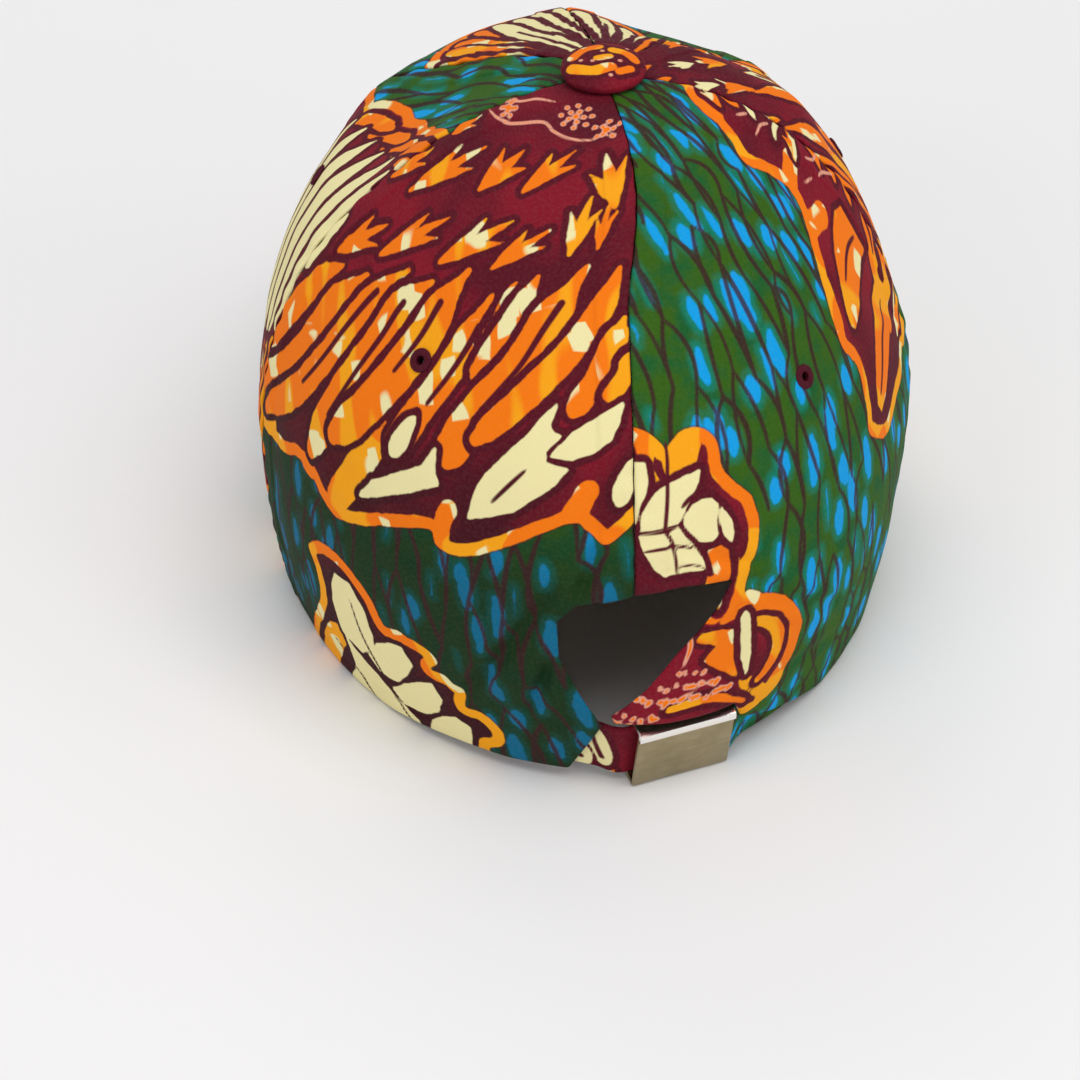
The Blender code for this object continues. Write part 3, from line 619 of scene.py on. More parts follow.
designs["panelBackRight"] = dict(
    ground=greenGround,
    zones=[
        [(5, 196), (12, 182), (19, 170), (14.5, 163), (13.5, 156), (12.5, 150), (17, 144),
         (22, 137), (22, 130), (18, 119), (15.5, 108), (15.5, 98), (20.5, 90), (20, 80), (19.5, 73),
         (31, 65.5), (43, 68), (60, 72), (90, 96), (80, 210), (20, 214)],
        [(-76, 104), (-56, 104.5), (-51, 103.5), (-47.6, 99.6), (-46.9, 98), (-44.5, 99.5),
         (-41, 101), (-37, 100.6), (-33.8, 97), (-34.3, 92), (-33.8, 88.5), (-31.5, 85),
         (-28.6, 81.5), (-27.2, 77), (-27.3, 72), (-28.2, 68), (-30.5, 63.5), (-33, 61.5),
         (-35.5, 63.5), (-37, 60), (-40, 56), (-76, 54)],
        [(-52, 46), (-46, 51.5), (-36, 54), (-24, 52), (-16, 44), (-13.5, 36), (-15, 28), (-18, 21),
         (-24, 17.5), (-34, 17), (-50, 12), (-70, 10), (-70, 34), (-60, 40)],
    ],
    flameShapes=[
        [(23.8, 103), (24, 99), (25.5, 97.5), (29, 99), (34.5, 102), (39, 104.5), (44, 106),
         (48, 105.5), (46, 109), (44, 114), (43, 119), (38, 120.5), (33, 118.5), (28, 115),
         (25, 109)],
        [(28.5, 76), (29.5, 80), (32, 84), (35.5, 88), (40, 92.5), (46, 96.5), (52, 95), (55, 91),
         (52, 86), (46, 82), (40, 78.5), (34, 74.5), (30, 73.5)],
        [(-41.8, 70.6), (-37.4, 71), (-36.4, 66), (-37.4, 61), (-40, 54), (-44, 56), (-42.2, 65)],
        [(-43.9, 47.6), (-40.4, 47.3), (-36, 46), (-35.5, 36.6), (-33.9, 32.4), (-38.4, 35.4),
         (-42.6, 39.2), (-41, 41), (-39.6, 43), (-42.5, 44.6), (-45, 46)],
    ],
    creamShapes=[
        [(-55.6, 96), (-53.2, 95.5), (-53.8, 91), (-56.4, 87), (-59, 82), (-62, 82), (-60, 92)],
        [(-57.4, 80.2), (-56.4, 83.4), (-54, 86.6), (-51.2, 88.6), (-44.4, 90.2), (-40.4, 90.8),
         (-41.6, 88.4), (-44.2, 85.6), (-46.6, 82.4), (-48.6, 80)],
        [(-46.8, 77.9), (-46.2, 80.7), (-44, 82.8), (-41.4, 83.7), (-39, 83.2), (-37.8, 81.4),
         (-39, 77.9), (-39, 74.3), (-40.6, 73.4), (-43.4, 74.3), (-45.7, 75.8)],
        [(-36.8, 80.4), (-35.2, 77), (-34.8, 73.4), (-35.4, 71.8), (-36.8, 73.4), (-37.1, 77)],
        [(-58, 78.8), (-48.6, 78.6), (-47.4, 76.2), (-45.6, 74), (-44, 70.9), (-43.6, 67.4),
         (-43.4, 64), (-46.4, 66.2), (-49.9, 66.8), (-53.2, 67.3), (-55.4, 70), (-57.4, 74)],
    ],
    featherRows=[
        ("blade", (60, 122), (70, 96), 2, (48, 92), (58, 78), -3, 3, 5, 2, 0.5, 0.9),
    ],
    feathers=[
        ("prong", 6.4, [(32, 140.5), (26.5, 138), (18, 134)]),
        ("prong", 6.6, [(33, 124), (27, 125), (18, 127)]),
        ("prong", 4.6, [(17.5, 98), (17.5, 107), (17.8, 114)]),
        ("prong", 8, [(-49.4, 92.6), (-50, 97), (-50, 103)]),
        ("prong", 8, [(-46.4, 92.4), (-43.5, 95.8), (-40.5, 99.5)]),
        ("prong", 3.8, [(-33, 30.5), (-29.4, 27.4), (-25.4, 23), (-19, 18.5)]),
        ("cream", 3, [(-31, 31.5), (-31.6, 42), (-32.4, 50)]),
    ],
    tuftRows=[
        ("blade", (33, 138), (50, 116), 2, 4, 62, 9, 5.6),
        ("cream", (26, 154), (50, 128), 2, 5, 66, 6, 3.8),
        ("blade", (18, 163), (44, 142), 2, 5, 80, 8, 5),
        ("cream", (21, 172), (38, 156), 2, 4, 70, 5, 3.2),
    ],
    arcs=[
        ("prong", (-31, 36), 15.6, -70, 118, 4.6),
        ("blade", (-31, 36.5), 9.7, -66, 94, 3.9),
    ],
    lines=[
        ("blade", 2.2, [(-52, 27.5), (-47, 28.4), (-41, 28.4), (-36, 26.4), (-30.5, 22.8)]),
        ("lace", 1.3, [(-46.8, 48), (-47, 44), (-48.4, 39)]),
        ("ink", 1, [(-46.4, 99.5), (-47.2, 95.5), (-48.4, 91.5), (-50, 85.4), (-51.7, 79),
         (-50.5, 75), (-50.2, 66)]),
        ("ink", 1.2, [(-46.6, 83.4), (-44.2, 85), (-41, 85.8), (-38, 84.8), (-36.4, 82)]),
        ("ink", 1, [(-60, 79.4), (-52, 78.8), (-48.5, 79.3)]),
        ("ink", 1.3, [(-48, 79.6), (-46.5, 76.6), (-44.6, 73.8), (-43.2, 70)]),
        ("ink", 0.8, [(-58, 74.6), (-50, 74.2), (-45.5, 72.6)]),
        ("ink", 0.6, [(-50, 69), (-46, 68.4), (-43.4, 67)]),
        ("ink", 1.3, [(28, 108), (33, 111), (38, 112), (44, 111)]),
        ("ink", 1.3, [(31, 76.5), (36, 81), (42, 86.5), (50, 91)]),
        ("cream", 1.6, [(18, 182), (23, 175), (25, 166)]),
        ("cream", 1.8, [(29, 146), (32, 147.5), (36, 147)]),
        ("lace", 0.8, [(22, 158.5), (26.5, 156)]),
        ("lace", 0.8, [(23, 151), (27, 151.5), (31, 149.5)]),
        ("lace", 0.8, [(30.5, 133), (35.5, 131.5)]),
        ("lace", 0.8, [(37, 136), (40, 133.5), (44, 133)]),
        ("lace", 0.9, [(38.5, 130), (42, 129), (47, 125.5)]),
        ("lace", 0.8, [(36, 150), (39, 147), (44, 146)]),
    ],
    dotRows=[
        ((-50, 37), (-43, 36), 0, 4, 0.8),
        ((-54, 34.4), (-39, 33), -0.5, 8, 0.9),
        ((-60, 31.6), (-36, 30), -1, 13, 0.9),
        ((-64, 27), (-54, 26), -1, 6, 0.8),
        ((-65, 24.4), (-32, 20.6), -1.5, 15, 0.9),
    ],
)
designs["panelSideLeft"] = dict(
    ground=dict(greenGround, lean=0.3, gather=0.4),
    zones=[
        [(-60, 104), (-40, 108), (-26, 114), (-15, 119), (-5, 126), (8, 135), (16, 140), (26, 146),
         (36, 150), (60, 156), (60, 40), (40, 30), (20, 34), (4, 28), (-14, 34), (-30, 28),
         (-60, 36)],
        [(-22, 188), (-10, 176), (-13, 166), (-6, 178), (4, 186), (14, 196), (-10, 204)],
    ],
    feathers=[
        ("blade", 4.8, [(31, 145), (27, 139), (24, 135)]),
        ("blade", 5, [(24, 144), (18, 138), (13, 132)]),
        ("blade", 5, [(15, 139), (9, 133), (5, 127)]),
        ("blade", 5, [(6, 134), (0, 128), (-5, 121)]),
        ("blade", 5, [(-4, 127), (-10, 121), (-15, 114)]),
        ("cream", 6, [(25, 132), (33, 116), (39, 99), (43, 82)]),
        ("cream", 6.8, [(16, 132), (25, 114), (32, 96), (37, 78)]),
        ("cream", 6.8, [(8, 127), (17, 110), (25, 92), (31, 74)]),
        ("cream", 6.8, [(0, 123), (9, 105), (17, 88), (24, 70)]),
        ("cream", 6.8, [(-8, 118), (1, 101), (10, 83), (17, 65)]),
        ("cream", 6.8, [(-16, 112), (-7, 95), (3, 77), (10, 60)]),
        ("blade", 4.4, [(42, 94), (45, 78), (46, 60), (45, 44)], 0.6),
        ("blade", 4.8, [(39, 74), (40, 58), (39, 40)], 0.6),
        ("blade", 4.8, [(32, 70), (34, 54), (33, 38)], 0.6),
        ("blade", 4.6, [(25, 64), (27, 50), (27, 37)]),
        ("cream", 5.5, [(17, 58), (20, 46), (20, 36)]),
        ("blade", 6, [(-28, 92), (-34, 76), (-36, 58)], 0.8),
        ("blade", 6, [(-14, 74), (-22, 62), (-26, 46)], 0.8),
        ("blade", 5.6, [(0, 60), (-8, 50), (-12, 40)], 0.6),
        ("blade", 6, [(-40, 99), (-46, 84), (-47, 66)], 0.8),
        ("blade", 5.2, [(-18, 99), (-23, 90), (-25, 79)], 0.5),
        ("blade", 5, [(-36, 56), (-40, 46), (-41, 38)]),
        ("blade", 5, [(10, 56), (5, 47), (3, 38)]),
    ],
    leaves=[
        ((-12, 0), (-18, 16), 9, 1, 0.5),
        ((22, 0), (28, 16), 9, -1, 0.5),
    ],
)
designs["panelSideRight"] = dict(
    ground=dict(greenGround, lean=-0.15, gather=0.4),
    zones=[
        [(-60, 86), (-44, 90), (-34, 94), (-22, 96), (-12, 102), (-2, 106), (8, 112), (18, 120),
         (30, 126), (60, 136), (60, 210), (-60, 210)],
    ],
    featherRows=[
        ("blade", (-48, 128), (34, 152), 3, (-44, 92), (34, 122), -3, 8, 6, 3, 0.6, 0.7, 4),
    ],
    tuftRows=[
        ("blade", (-34, 134), (14, 152), 3, 5, 98, 13, 6.5),
        ("cream", (-22, 150), (12, 162), 3, 4, 100, 9, 4.6),
        ("blade", (-14, 164), (8, 174), 2, 4, 100, 8, 4.2),
    ],
    leaves=[
        ((0, 24), (-18, 44), 11, 2, 0.5),
        ((2, 24), (-4, 54), 11, 1, 0.7),
        ((6, 24), (12, 54), 11, -1, 0.6),
        ((8, 24), (26, 42), 11, -2, 0.5),
    ],
)
designs["panelFrontLeft"] = dict(
    ground=greenGround,
    zones=[
        [(-60, 134), (-30, 134), (-10, 136), (10, 136), (30, 136), (60, 140), (60, 210),
         (-60, 210)],
    ],
    featherRows=[
        ("cream", (-5, 192), (0, 192), 0, (-26, 134), (-1, 134), -1, 5, 6, 1, 0.4, 0.6),
        ("blade", (1, 192), (5, 192), 0, (5, 134), (23, 138), -1, 4, 6.4, 1, 0.4, 0.6),
        ("blade", (-46, 92), (-46, 52), 0, (-14, 80), (-16, 50), -5, 4, 7.6, 2, 0.5, 0.7),
    ],
    leaves=[
        ((13, 34), (22, 60), 11, -2, 0.6),
        ((11, 34), (3, 57), 10, 2, 0.5),
    ],
)
designs["panelFrontRight"] = dict(
    ground=greenGround,
    zones=[
        [(-60, 134), (-30, 136), (-10, 136), (10, 136), (30, 138), (60, 138), (60, 210),
         (-60, 210)],
    ],
    featherRows=[
        ("blade", (-5, 190), (-1, 190), 0, (-25, 136), (-8, 137), -1, 4, 6.4, -1, 0.4, 0.8),
        ("cream", (0, 190), (5, 190), 0, (-2, 137), (25, 138), -1, 5, 6, -1, 0.4, 0.8),
        ("cream", (46, 94), (46, 58), 0, (14, 86), (14, 58), 5, 4, 7.4, -2, 0.5, 0.7),
    ],
    leaves=[
        ((-14, 30), (-22, 56), 11, 2, 0.6),
        ((-12, 30), (-4, 54), 10, -2, 0.5),
    ],
)


# Node groups that the cloths share
def makeGroup(name, inputs, outputs):
    group = bpy.data.node_groups.new(name, "ShaderNodeTree")
    for label, kind, value in inputs:
        socket = group.interface.new_socket(name=label, in_out="INPUT", socket_type=kind)
        if value is not None:
            socket.default_value = value
    for label, kind in outputs:
        group.interface.new_socket(name=label, in_out="OUTPUT", socket_type=kind)
    entry = group.nodes.new("NodeGroupInput")
    leave = group.nodes.new("NodeGroupOutput")
    return group, entry, leave


class Wiring:
    # short ways to add and join nodes in one tree

    def __init__(self, tree):
        self.tree = tree

    def node(self, kind, **settings):
        made = self.tree.nodes.new(kind)
        for key, value in settings.items():
            setattr(made, key, value)
        return made

    def feed(self, node, values):
        # sockets by name or number, each with a value or the socket that it takes its value from
        for key, value in values.items():
            if isinstance(value, bpy.types.NodeSocket):
                self.tree.links.new(value, node.inputs[key])
            else:
                node.inputs[key].default_value = value

    def math(self, operation, one, other=0.0):
        made = self.node("ShaderNodeMath", operation=operation)
        self.feed(made, {0: one, 1: other})
        return made.outputs[0]

    def times(self, one, other):
        return self.math("MULTIPLY", one, other)

    def plus(self, one, other):
        return self.math("ADD", one, other)

    def stretch(self, vector, amounts):
        made = self.node("ShaderNodeVectorMath", operation="MULTIPLY")
        self.feed(made, {0: vector, 1: amounts})
        return made.outputs[0]

    def apart(self, vector):
        made = self.node("ShaderNodeSeparateXYZ")
        self.feed(made, {0: vector})
        return made.outputs

    def attribute(self, name, output="Fac"):
        return self.node("ShaderNodeAttribute", attribute_name=name).outputs[output]

    def step(self, value, edge, soft):
        # 1 where value is under edge, 0 over it
        made = self.node("ShaderNodeMapRange", interpolation_type="SMOOTHSTEP")
        self.feed(made, {"Value": value, "From Min": edge - soft, "From Max": edge + soft,
                         "To Min": 1.0, "To Max": 0.0})
        return made.outputs["Result"]

    def mix(self, share, one, other):
        made = self.node("ShaderNodeMix", data_type="RGBA")
        self.feed(made, {"Factor": share, "A": one, "B": other})
        return made.outputs["Result"]

    def noise(self, place, scale, detail=2.0, roughness=0.5):
        made = self.node("ShaderNodeTexNoise")
        self.feed(made, {"Vector": place, "Scale": scale, "Detail": detail, "Roughness": roughness})
        return made.outputs["Fac"]

    def bump(self, height, strength, distance):
        made = self.node("ShaderNodeBump")
        self.feed(made, {"Height": height, "Strength": strength, "Distance": distance})
        return made.outputs["Normal"]


def newMaterial(name):
    material = bpy.data.materials.new(name)
    material.use_nodes = True
    return material, Wiring(material.node_tree), material.node_tree.nodes["Principled BSDF"]


def tint(red, green, blue):
    # a screen colour, as the shader wants it
    def linear(value):
        value = value / 255
        return value / 12.92 if value <= 0.04045 else ((value + 0.055) / 1.055) ** 2.4
    return (linear(red), linear(green), linear(blue), 1.0)


# print dyes, with darker copies of green, teal, blue and maroon and a dark colour, which paint
# shade
dyesAndShades = {
    "green": tint(50, 94, 10),
    "deepGreen": tint(8, 90, 42),
    "paintedShadeGreen": tint(6, 38, 18),
    "vein": tint(56, 22, 28),
    "teal": tint(0, 124, 100),
    "deepTeal": tint(0, 72, 62),
    "blue": tint(0, 158, 228),
    "deepBlue": tint(0, 104, 140),
    "maroon": tint(132, 10, 36),
    "deepMaroon": tint(88, 4, 28),
    "paintedShadeMaroon": tint(44, 3, 16),
    "orange": tint(250, 122, 2),
    "amber": tint(252, 166, 14),
    "cream": tint(244, 232, 172),
    "pink": tint(236, 164, 138),
    "reverse": tint(206, 186, 140),
    "shade": tint(30, 14, 18),
}
# Pairs are where a dye ends and how softly, in millimetres or in the noise that it follows
wax = dict(
    wobble=1.1, wobbleScale=0.24, markTurn=-32, markStretch=(1.0, 0.72, 1.0), markScale=0.13,
    markBlur=0.9, markBlurScale=0.09, borderMarks=(0.63, 0.03), flameMarks=(0.66, 0.03),
    greens=(0.45, 0.14), halo=(1.3, 1.1), haloPatches=(0.64, 0.25), drop=(-0.3, 0.4),
    vein=(0.1, 0.32), amberBorder=(0.48, 0.01), amberFlame=(0.42, 0.05), maroons=(0.5, 0.15),
    laceHeart=(-0.34, 0.08), fade=(0.44, 0.2), rim=(0.35, 0.3), broadScale=0.035,
    warmStretch=(1.0, 0.3, 1.0), warmScale=0.13, mottleScale=0.1, smallScale=1.1, paintedShadeGreenShare=0.85,
    maroonPaintedShadeShare=0.8, haloShare=0.9, veinShare=0.88, rimShare=0.7, fadeShare=0.012, edgeSoft=0.25,
    bladeRing=(1.7, 0.3), creamRing=(1.8, 0.3), ink=(0.1, 0.3),
)


def makePrintGroup():
    # the wax print's colour from the distances to its motifs, with painted shade mixed in by the
    # share in its last input
    inputs = [("Place", "NodeSocketVector", None)]
    inputs += [(name, "NodeSocketFloat", fieldReach) for name in fieldNames]
    inputs += [("deep", "NodeSocketFloat", 0.0)]
    outputs = [("Color", "NodeSocketColor"), ("Wax", "NodeSocketFloat")]
    group, entry, leave = makeGroup("waxPrint", inputs, outputs)
    w = Wiring(group)
    raw = entry.outputs
    place = raw["Place"]
    deep = raw["deep"]
    wobble = w.times(w.math("SUBTRACT", w.noise(place, wax["wobbleScale"]), 0.5), wax["wobble"])
    fields = {name: w.plus(raw[name], wobble) for name in fieldNames}
    broad = w.noise(place, wax["broadScale"])
    small = w.noise(place, wax["smallScale"])
    mottle = w.noise(place, wax["mottleScale"], 3, 0.55)
    slant = w.node("ShaderNodeVectorRotate", rotation_type="Z_AXIS")
    w.feed(slant, {"Vector": place, "Angle": math.radians(wax["markTurn"])})
    marks = w.node("ShaderNodeTexVoronoi", distance="CHEBYCHEV")
    w.feed(marks, {"Vector": w.stretch(slant.outputs[0], wax["markStretch"]),
                   "Scale": wax["markScale"]})
    blur = w.times(w.noise(place, wax["markBlurScale"], 0.0), wax["markBlur"])
    patches = w.plus(marks.outputs["Distance"], blur)
    warm = w.noise(w.stretch(slant.outputs[0], wax["warmStretch"]), wax["warmScale"], 0.0)

    ground = w.mix(w.step(mottle, *wax["greens"]), dyesAndShades["green"], dyesAndShades["deepGreen"])
    # painted shade: the ground, its halos and its drops darken towards the rim by the painted shade
    # share
    ground = w.mix(w.times(deep, wax["paintedShadeGreenShare"]), ground, dyesAndShades["paintedShadeGreen"])
    halo = w.times(w.step(fields["drop"], *wax["halo"]), w.step(mottle, *wax["haloPatches"]))
    teal = w.mix(deep, dyesAndShades["teal"], dyesAndShades["deepTeal"])
    ground = w.mix(w.times(halo, wax["haloShare"]), ground, teal)
    drop = w.mix(deep, dyesAndShades["blue"], dyesAndShades["deepBlue"])
    ground = w.mix(w.step(fields["drop"], *wax["drop"]), ground, drop)
    veins = w.times(w.step(raw["vein"], *wax["vein"]), wax["veinShare"])
    ground = w.mix(veins, ground, dyesAndShades["vein"])

    edging = w.mix(w.step(broad, *wax["amberBorder"]), dyesAndShades["orange"], dyesAndShades["amber"])
    edging = w.mix(w.step(patches, *wax["borderMarks"]), edging, dyesAndShades["cream"])
    flame = w.mix(w.step(warm, *wax["amberFlame"]), dyesAndShades["orange"], dyesAndShades["amber"])
    flame = w.mix(w.step(patches, *wax["flameMarks"]), flame, dyesAndShades["cream"])
    # painted shade on the maroon and on the outlines of the motifs
    maroonPaintedShade = w.times(deep, wax["maroonPaintedShadeShare"])
    maroon = w.mix(w.step(broad, *wax["maroons"]), dyesAndShades["maroon"], dyesAndShades["deepMaroon"])
    maroon = w.mix(maroonPaintedShade, maroon, dyesAndShades["paintedShadeMaroon"])
    outline = w.mix(maroonPaintedShade, dyesAndShades["deepMaroon"], dyesAndShades["paintedShadeMaroon"])
    lace = w.mix(w.step(raw["lace"], *wax["laceHeart"]), dyesAndShades["pink"], dyesAndShades["orange"])

    # each dye covers those before it, up to its edge
    rim = w.times(w.step(fields["zone"], *wax["rim"]), wax["rimShare"])
    color = w.mix(rim, ground, dyesAndShades["vein"])
    edge = (0.0, wax["edgeSoft"])
    for field, pair, dye in (
        (fields["zone"], edge, edging),
        (fields["zone"], (-border["width"], wax["edgeSoft"]), maroon),
        (fields["blade"], wax["bladeRing"], outline),
        (fields["blade"], edge, flame),
        (fields["cream"], wax["creamRing"], outline),
        (fields["cream"], edge, dyesAndShades["cream"]),
        (raw["ink"], wax["ink"], outline),
        (raw["lace"], edge, lace),
    ):
        color = w.mix(w.step(field, *pair), color, dye)
    fade = w.times(w.step(small, *wax["fade"]), wax["fadeShare"])
    w.feed(leave, {"Color": w.mix(fade, color, dyesAndShades["cream"]), "Wax": small})
    return group


weave = dict(perMillimetre=2.2, dip=-0.35, over=0.3, slubStretch=(6.0, 0.5, 1.0))
cotton = dict(
    reverseShare=0.42, shade=(-0.35, 0.3), shadeShare=0.07, specular=0.16, sheenRoughness=0.45,
    waxRoughness=0.22, slub=0.8, bumpStrength=0.3, bumpHeight=0.00012,
)


def makeWeaveGroup():
    # plain weave: threads over and under each other
    inputs = [("Place", "NodeSocketVector", None)]
    inputs += [("Threads per mm", "NodeSocketFloat", weave["perMillimetre"])]
    outputs = [("Height", "NodeSocketFloat"), ("Slub", "NodeSocketFloat")]
    group, entry, leave = makeGroup("plainWeave", inputs, outputs)
    w = Wiring(group)
    place = entry.outputs["Place"]
    scaled = w.node("ShaderNodeVectorMath", operation="SCALE")
    w.feed(scaled, {0: place, "Scale": entry.outputs["Threads per mm"]})
    parts = w.apart(scaled.outputs[0])
    right = w.times(parts["X"], math.pi)
    up = w.times(parts["Y"], math.pi)
    over = w.times(w.math("SINE", right), w.math("SINE", up))
    threads = w.plus(w.math("ABSOLUTE", w.math("COSINE", right)),
                     w.math("ABSOLUTE", w.math("COSINE", up)))
    height = w.plus(w.times(threads, weave["dip"]), w.times(over, weave["over"]))
    slub = w.noise(w.stretch(place, weave["slubStretch"]), 1.0)
    w.feed(leave, {"Height": height, "Slub": slub})
    return group


printGroup = makePrintGroup()
weaveGroup = makeWeaveGroup()


def makeClothMaterial(name, reverse=False, sheen=0.0, roughness=0.78):
    # printed cotton; its reverse is paler and rougher
    material, w, shader = newMaterial(name)
    place = w.attribute("place", "Vector")
    printed = w.node("ShaderNodeGroup", node_tree=printGroup)
    w.feed(printed, {"Place": place})
    w.feed(printed, {field: w.attribute(field) for field in fieldNames + ["deep"]})
    woven = w.node("ShaderNodeGroup", node_tree=weaveGroup)
    w.feed(woven, {"Place": place})
    height, slub = woven.outputs
    color = printed.outputs["Color"]
    if reverse:
        color = w.mix(cotton["reverseShare"], color, dyesAndShades["reverse"])
    # painted shade: the base colour darkens in the dips between the threads
    shade = w.times(w.step(height, *cotton["shade"]), cotton["shadeShare"])
    rough = w.times(printed.outputs["Wax"], cotton["waxRoughness"])
    relief = w.plus(height, w.times(slub, cotton["slub"]))
    w.feed(shader, {
        "Base Color": w.mix(shade, color, dyesAndShades["shade"]),
        "Roughness": w.plus(rough, roughness - cotton["waxRoughness"] / 2),
        "Specular IOR Level": cotton["specular"],
        "Sheen Weight": sheen,
        "Sheen Roughness": cotton["sheenRoughness"],
        "Normal": w.bump(relief, cotton["bumpStrength"], cotton["bumpHeight"]),
    })
    return material


clothFace = makeClothMaterial("printedCotton")
clothReverse = makeClothMaterial("printedCottonReverse", reverse=True, sheen=0.05, roughness=0.82)
print("materials made")


def openingDistance(panel, point):
    # distance to the cut-away area behind the opening, minus inside it
    if panel["end"] == 360:
        edge, side = leftEdge, 1
    elif panel["start"] == 0:
        edge, side = rightEdge, -1
    else:
        return np.full(point.shape[:-1], np.inf)
    past = side * cutPastSeam
    outline = edge + [(past, edge[-1][1]), (past, edge[0][1])]
    return outlineDistance(np.stack([-point[..., 0], point[..., 2]], -1), outline)


def clippedFaces(keep, angle, rise):
    # faces of a grid where keep is over 0, cut along the line where it is 0
    flat = keep.ravel()
    newAngle = list(angle.ravel())
    newRise = list(rise.ravel())
    cuts = {}

    def crossing(one, other):
        one, other = sorted((one, other))
        if (one, other) not in cuts:
            share = flat[one] / (flat[one] - flat[other])
            cuts[one, other] = len(newAngle)
            for values in (newAngle, newRise):
                values.append(values[one] + (values[other] - values[one]) * share)
        return cuts[one, other]

    corners = gridFaces(np.arange(keep.size).reshape(keep.shape))
    kept = flat[corners] > 0
    whole = kept.all(-1)
    partly = kept.any(-1) & ~whole
    faces = corners[whole].tolist()
    for quad, inside in zip(corners[partly].tolist(), kept[partly]):
        face = []
        for i in range(4):
            j = (i + 1) % 4
            if inside[i]:
                face.append(quad[i])
            if inside[i] != inside[j]:
                face.append(crossing(quad[i], quad[j]))
        faces.append(face)
    used = np.unique(np.concatenate(faces))
    place = np.full(len(newAngle), -1)
    place[used] = np.arange(len(used))
    faces = [place[face].tolist() for face in faces]
    return np.array(newAngle)[used], np.array(newRise)[used], faces


# Soft creases pressed into the cloth: ends as angle and rise, width and depth in millimetres
creases = named(
    "startAngle startRise endAngle endRise width depth",
    (354, 0.52, 342, 0.15, 4.2, 2.3),
    (347, 0.44, 330, 0.15, 4.8, 1.9),
    (358, 0.48, 352, 0.24, 3.4, 1.6),
    (16, 0.46, 42, 0.24, 5, 1.1),
    (8, 0.52, 24, 0.44, 4, 0.7),
    (28, 0.18, 58, 0.1, 5, 0.6),
    (300, 0.52, 330, 0.4, 7, 0.4),
    (66, 0.7, 82, 0.55, 6, 0.5),
    (240, 0.5, 262, 0.3, 7, 0.6),
    (120, 0.46, 100, 0.28, 7, 0.6),
    (198, 0.6, 214, 0.42, 7, 0.5),
    (164, 0.58, 150, 0.38, 7, 0.5),
)
clothFinish = dict(
    wall=1.25, seamRoll=0.55, seamRollWidth=1.3, edgeRoll=0.7, edgeRollWidth=1.6, allowance=8.4,
    allowanceStep=0.45, allowanceSoft=0.8, smoothTop=0.02, pucker=0.30, puckerDrift=1.7,
    puckerDriftLength=13.0, puckerReach=9.0, puckerLength=8.5, hemLine=5.2, hemGroove=0.3,
    grooveWidth=0.5, wobble=0.28, wobbleLengths=(46, 31, 22, 16, 12), wobbleSum=2.2,
    creaseRadius=88,
    creaseFromEdge=6, creaseFrom=14, creaseFadeIn=12, openingSeamFrom=60, openingStrip=4.2,
    openingStripFrom=50, offFloor=0.05, noiseApart=37.0,
)


def clothWobble(right, up, seed):
    # the slight unevenness of worn cotton, as a few long waves
    seeds = np.random.default_rng(seed)
    lengths = clothFinish["wobbleLengths"]
    total = np.zeros_like(right)
    for length in lengths:
        turn = seeds.uniform(0, math.pi)
        phase = seeds.uniform(0, phaseEnd)
        wave = (right * math.cos(turn) + up * math.sin(turn)) * 2 * math.pi / length
        total += np.sin(wave + phase) * length / lengths[0]
    return total / clothFinish["wobbleSum"]


def creaseDepth(angle, rise):
    total = np.zeros_like(angle)
    around = math.radians(clothFinish["creaseRadius"])
    for crease in creases:
        turn = anglesApart(crease["endAngle"], crease["startAngle"])
        start = np.array([0.0, crease["startRise"] * crown["height"]])
        end = np.array([turn * around, crease["endRise"] * crown["height"]])
        spot = np.stack([anglesApart(angle, crease["startAngle"]) * around,
                         rise * crown["height"]], -1)
        share, off = segmentDistance(spot, start, end)
        off = off / crease["width"]
        ridge = np.cos(np.minimum(off, 1.5) * math.pi) * np.exp(-off ** 2)
        total += ridge * crease["depth"] * np.sin(np.pi * (0.1 + 0.8 * share))
    return total


eyeletShape = dict(
    hole=1.1, sleeve=1.9, ring=3.0, proud=0.75, bevel=0.35, seat=0.1, inside=-2.0, innerFlange=0.45,
    cut=1.75, stitches=34, stitchDepth=0.13,
)
panels = named(
    "name node start end columns seed eyelet holeAngle holeRise",
    ("panelBackRight", "panel_back_right", 0, 83, 176, 11, "eyelet_back_right", 39, 0.69),
    ("panelSideRight", "panel_side_right", 83, 134, 108, 12, "eyelet_side_right", 107, 0.72),
    ("panelFrontRight", "panel_front_right", 134, 180, 86, 13, "eyelet_front_right", 157, 0.72),
    ("panelFrontLeft", "panel_front_left", 180, 226, 86, 14, "eyelet_front_left", 203, 0.72),
    ("panelSideLeft", "panel_side_left", 226, 277, 108, 15, "eyelet_side_left", 253, 0.72),
    ("panelBackLeft", "panel_back_left", 277, 360, 176, 16, "eyelet_back_left", 315, 0.725),
)
panelRows = 232
flatTable = dict(past=12, rises=400, rows=120, columns=220, top=0.985)


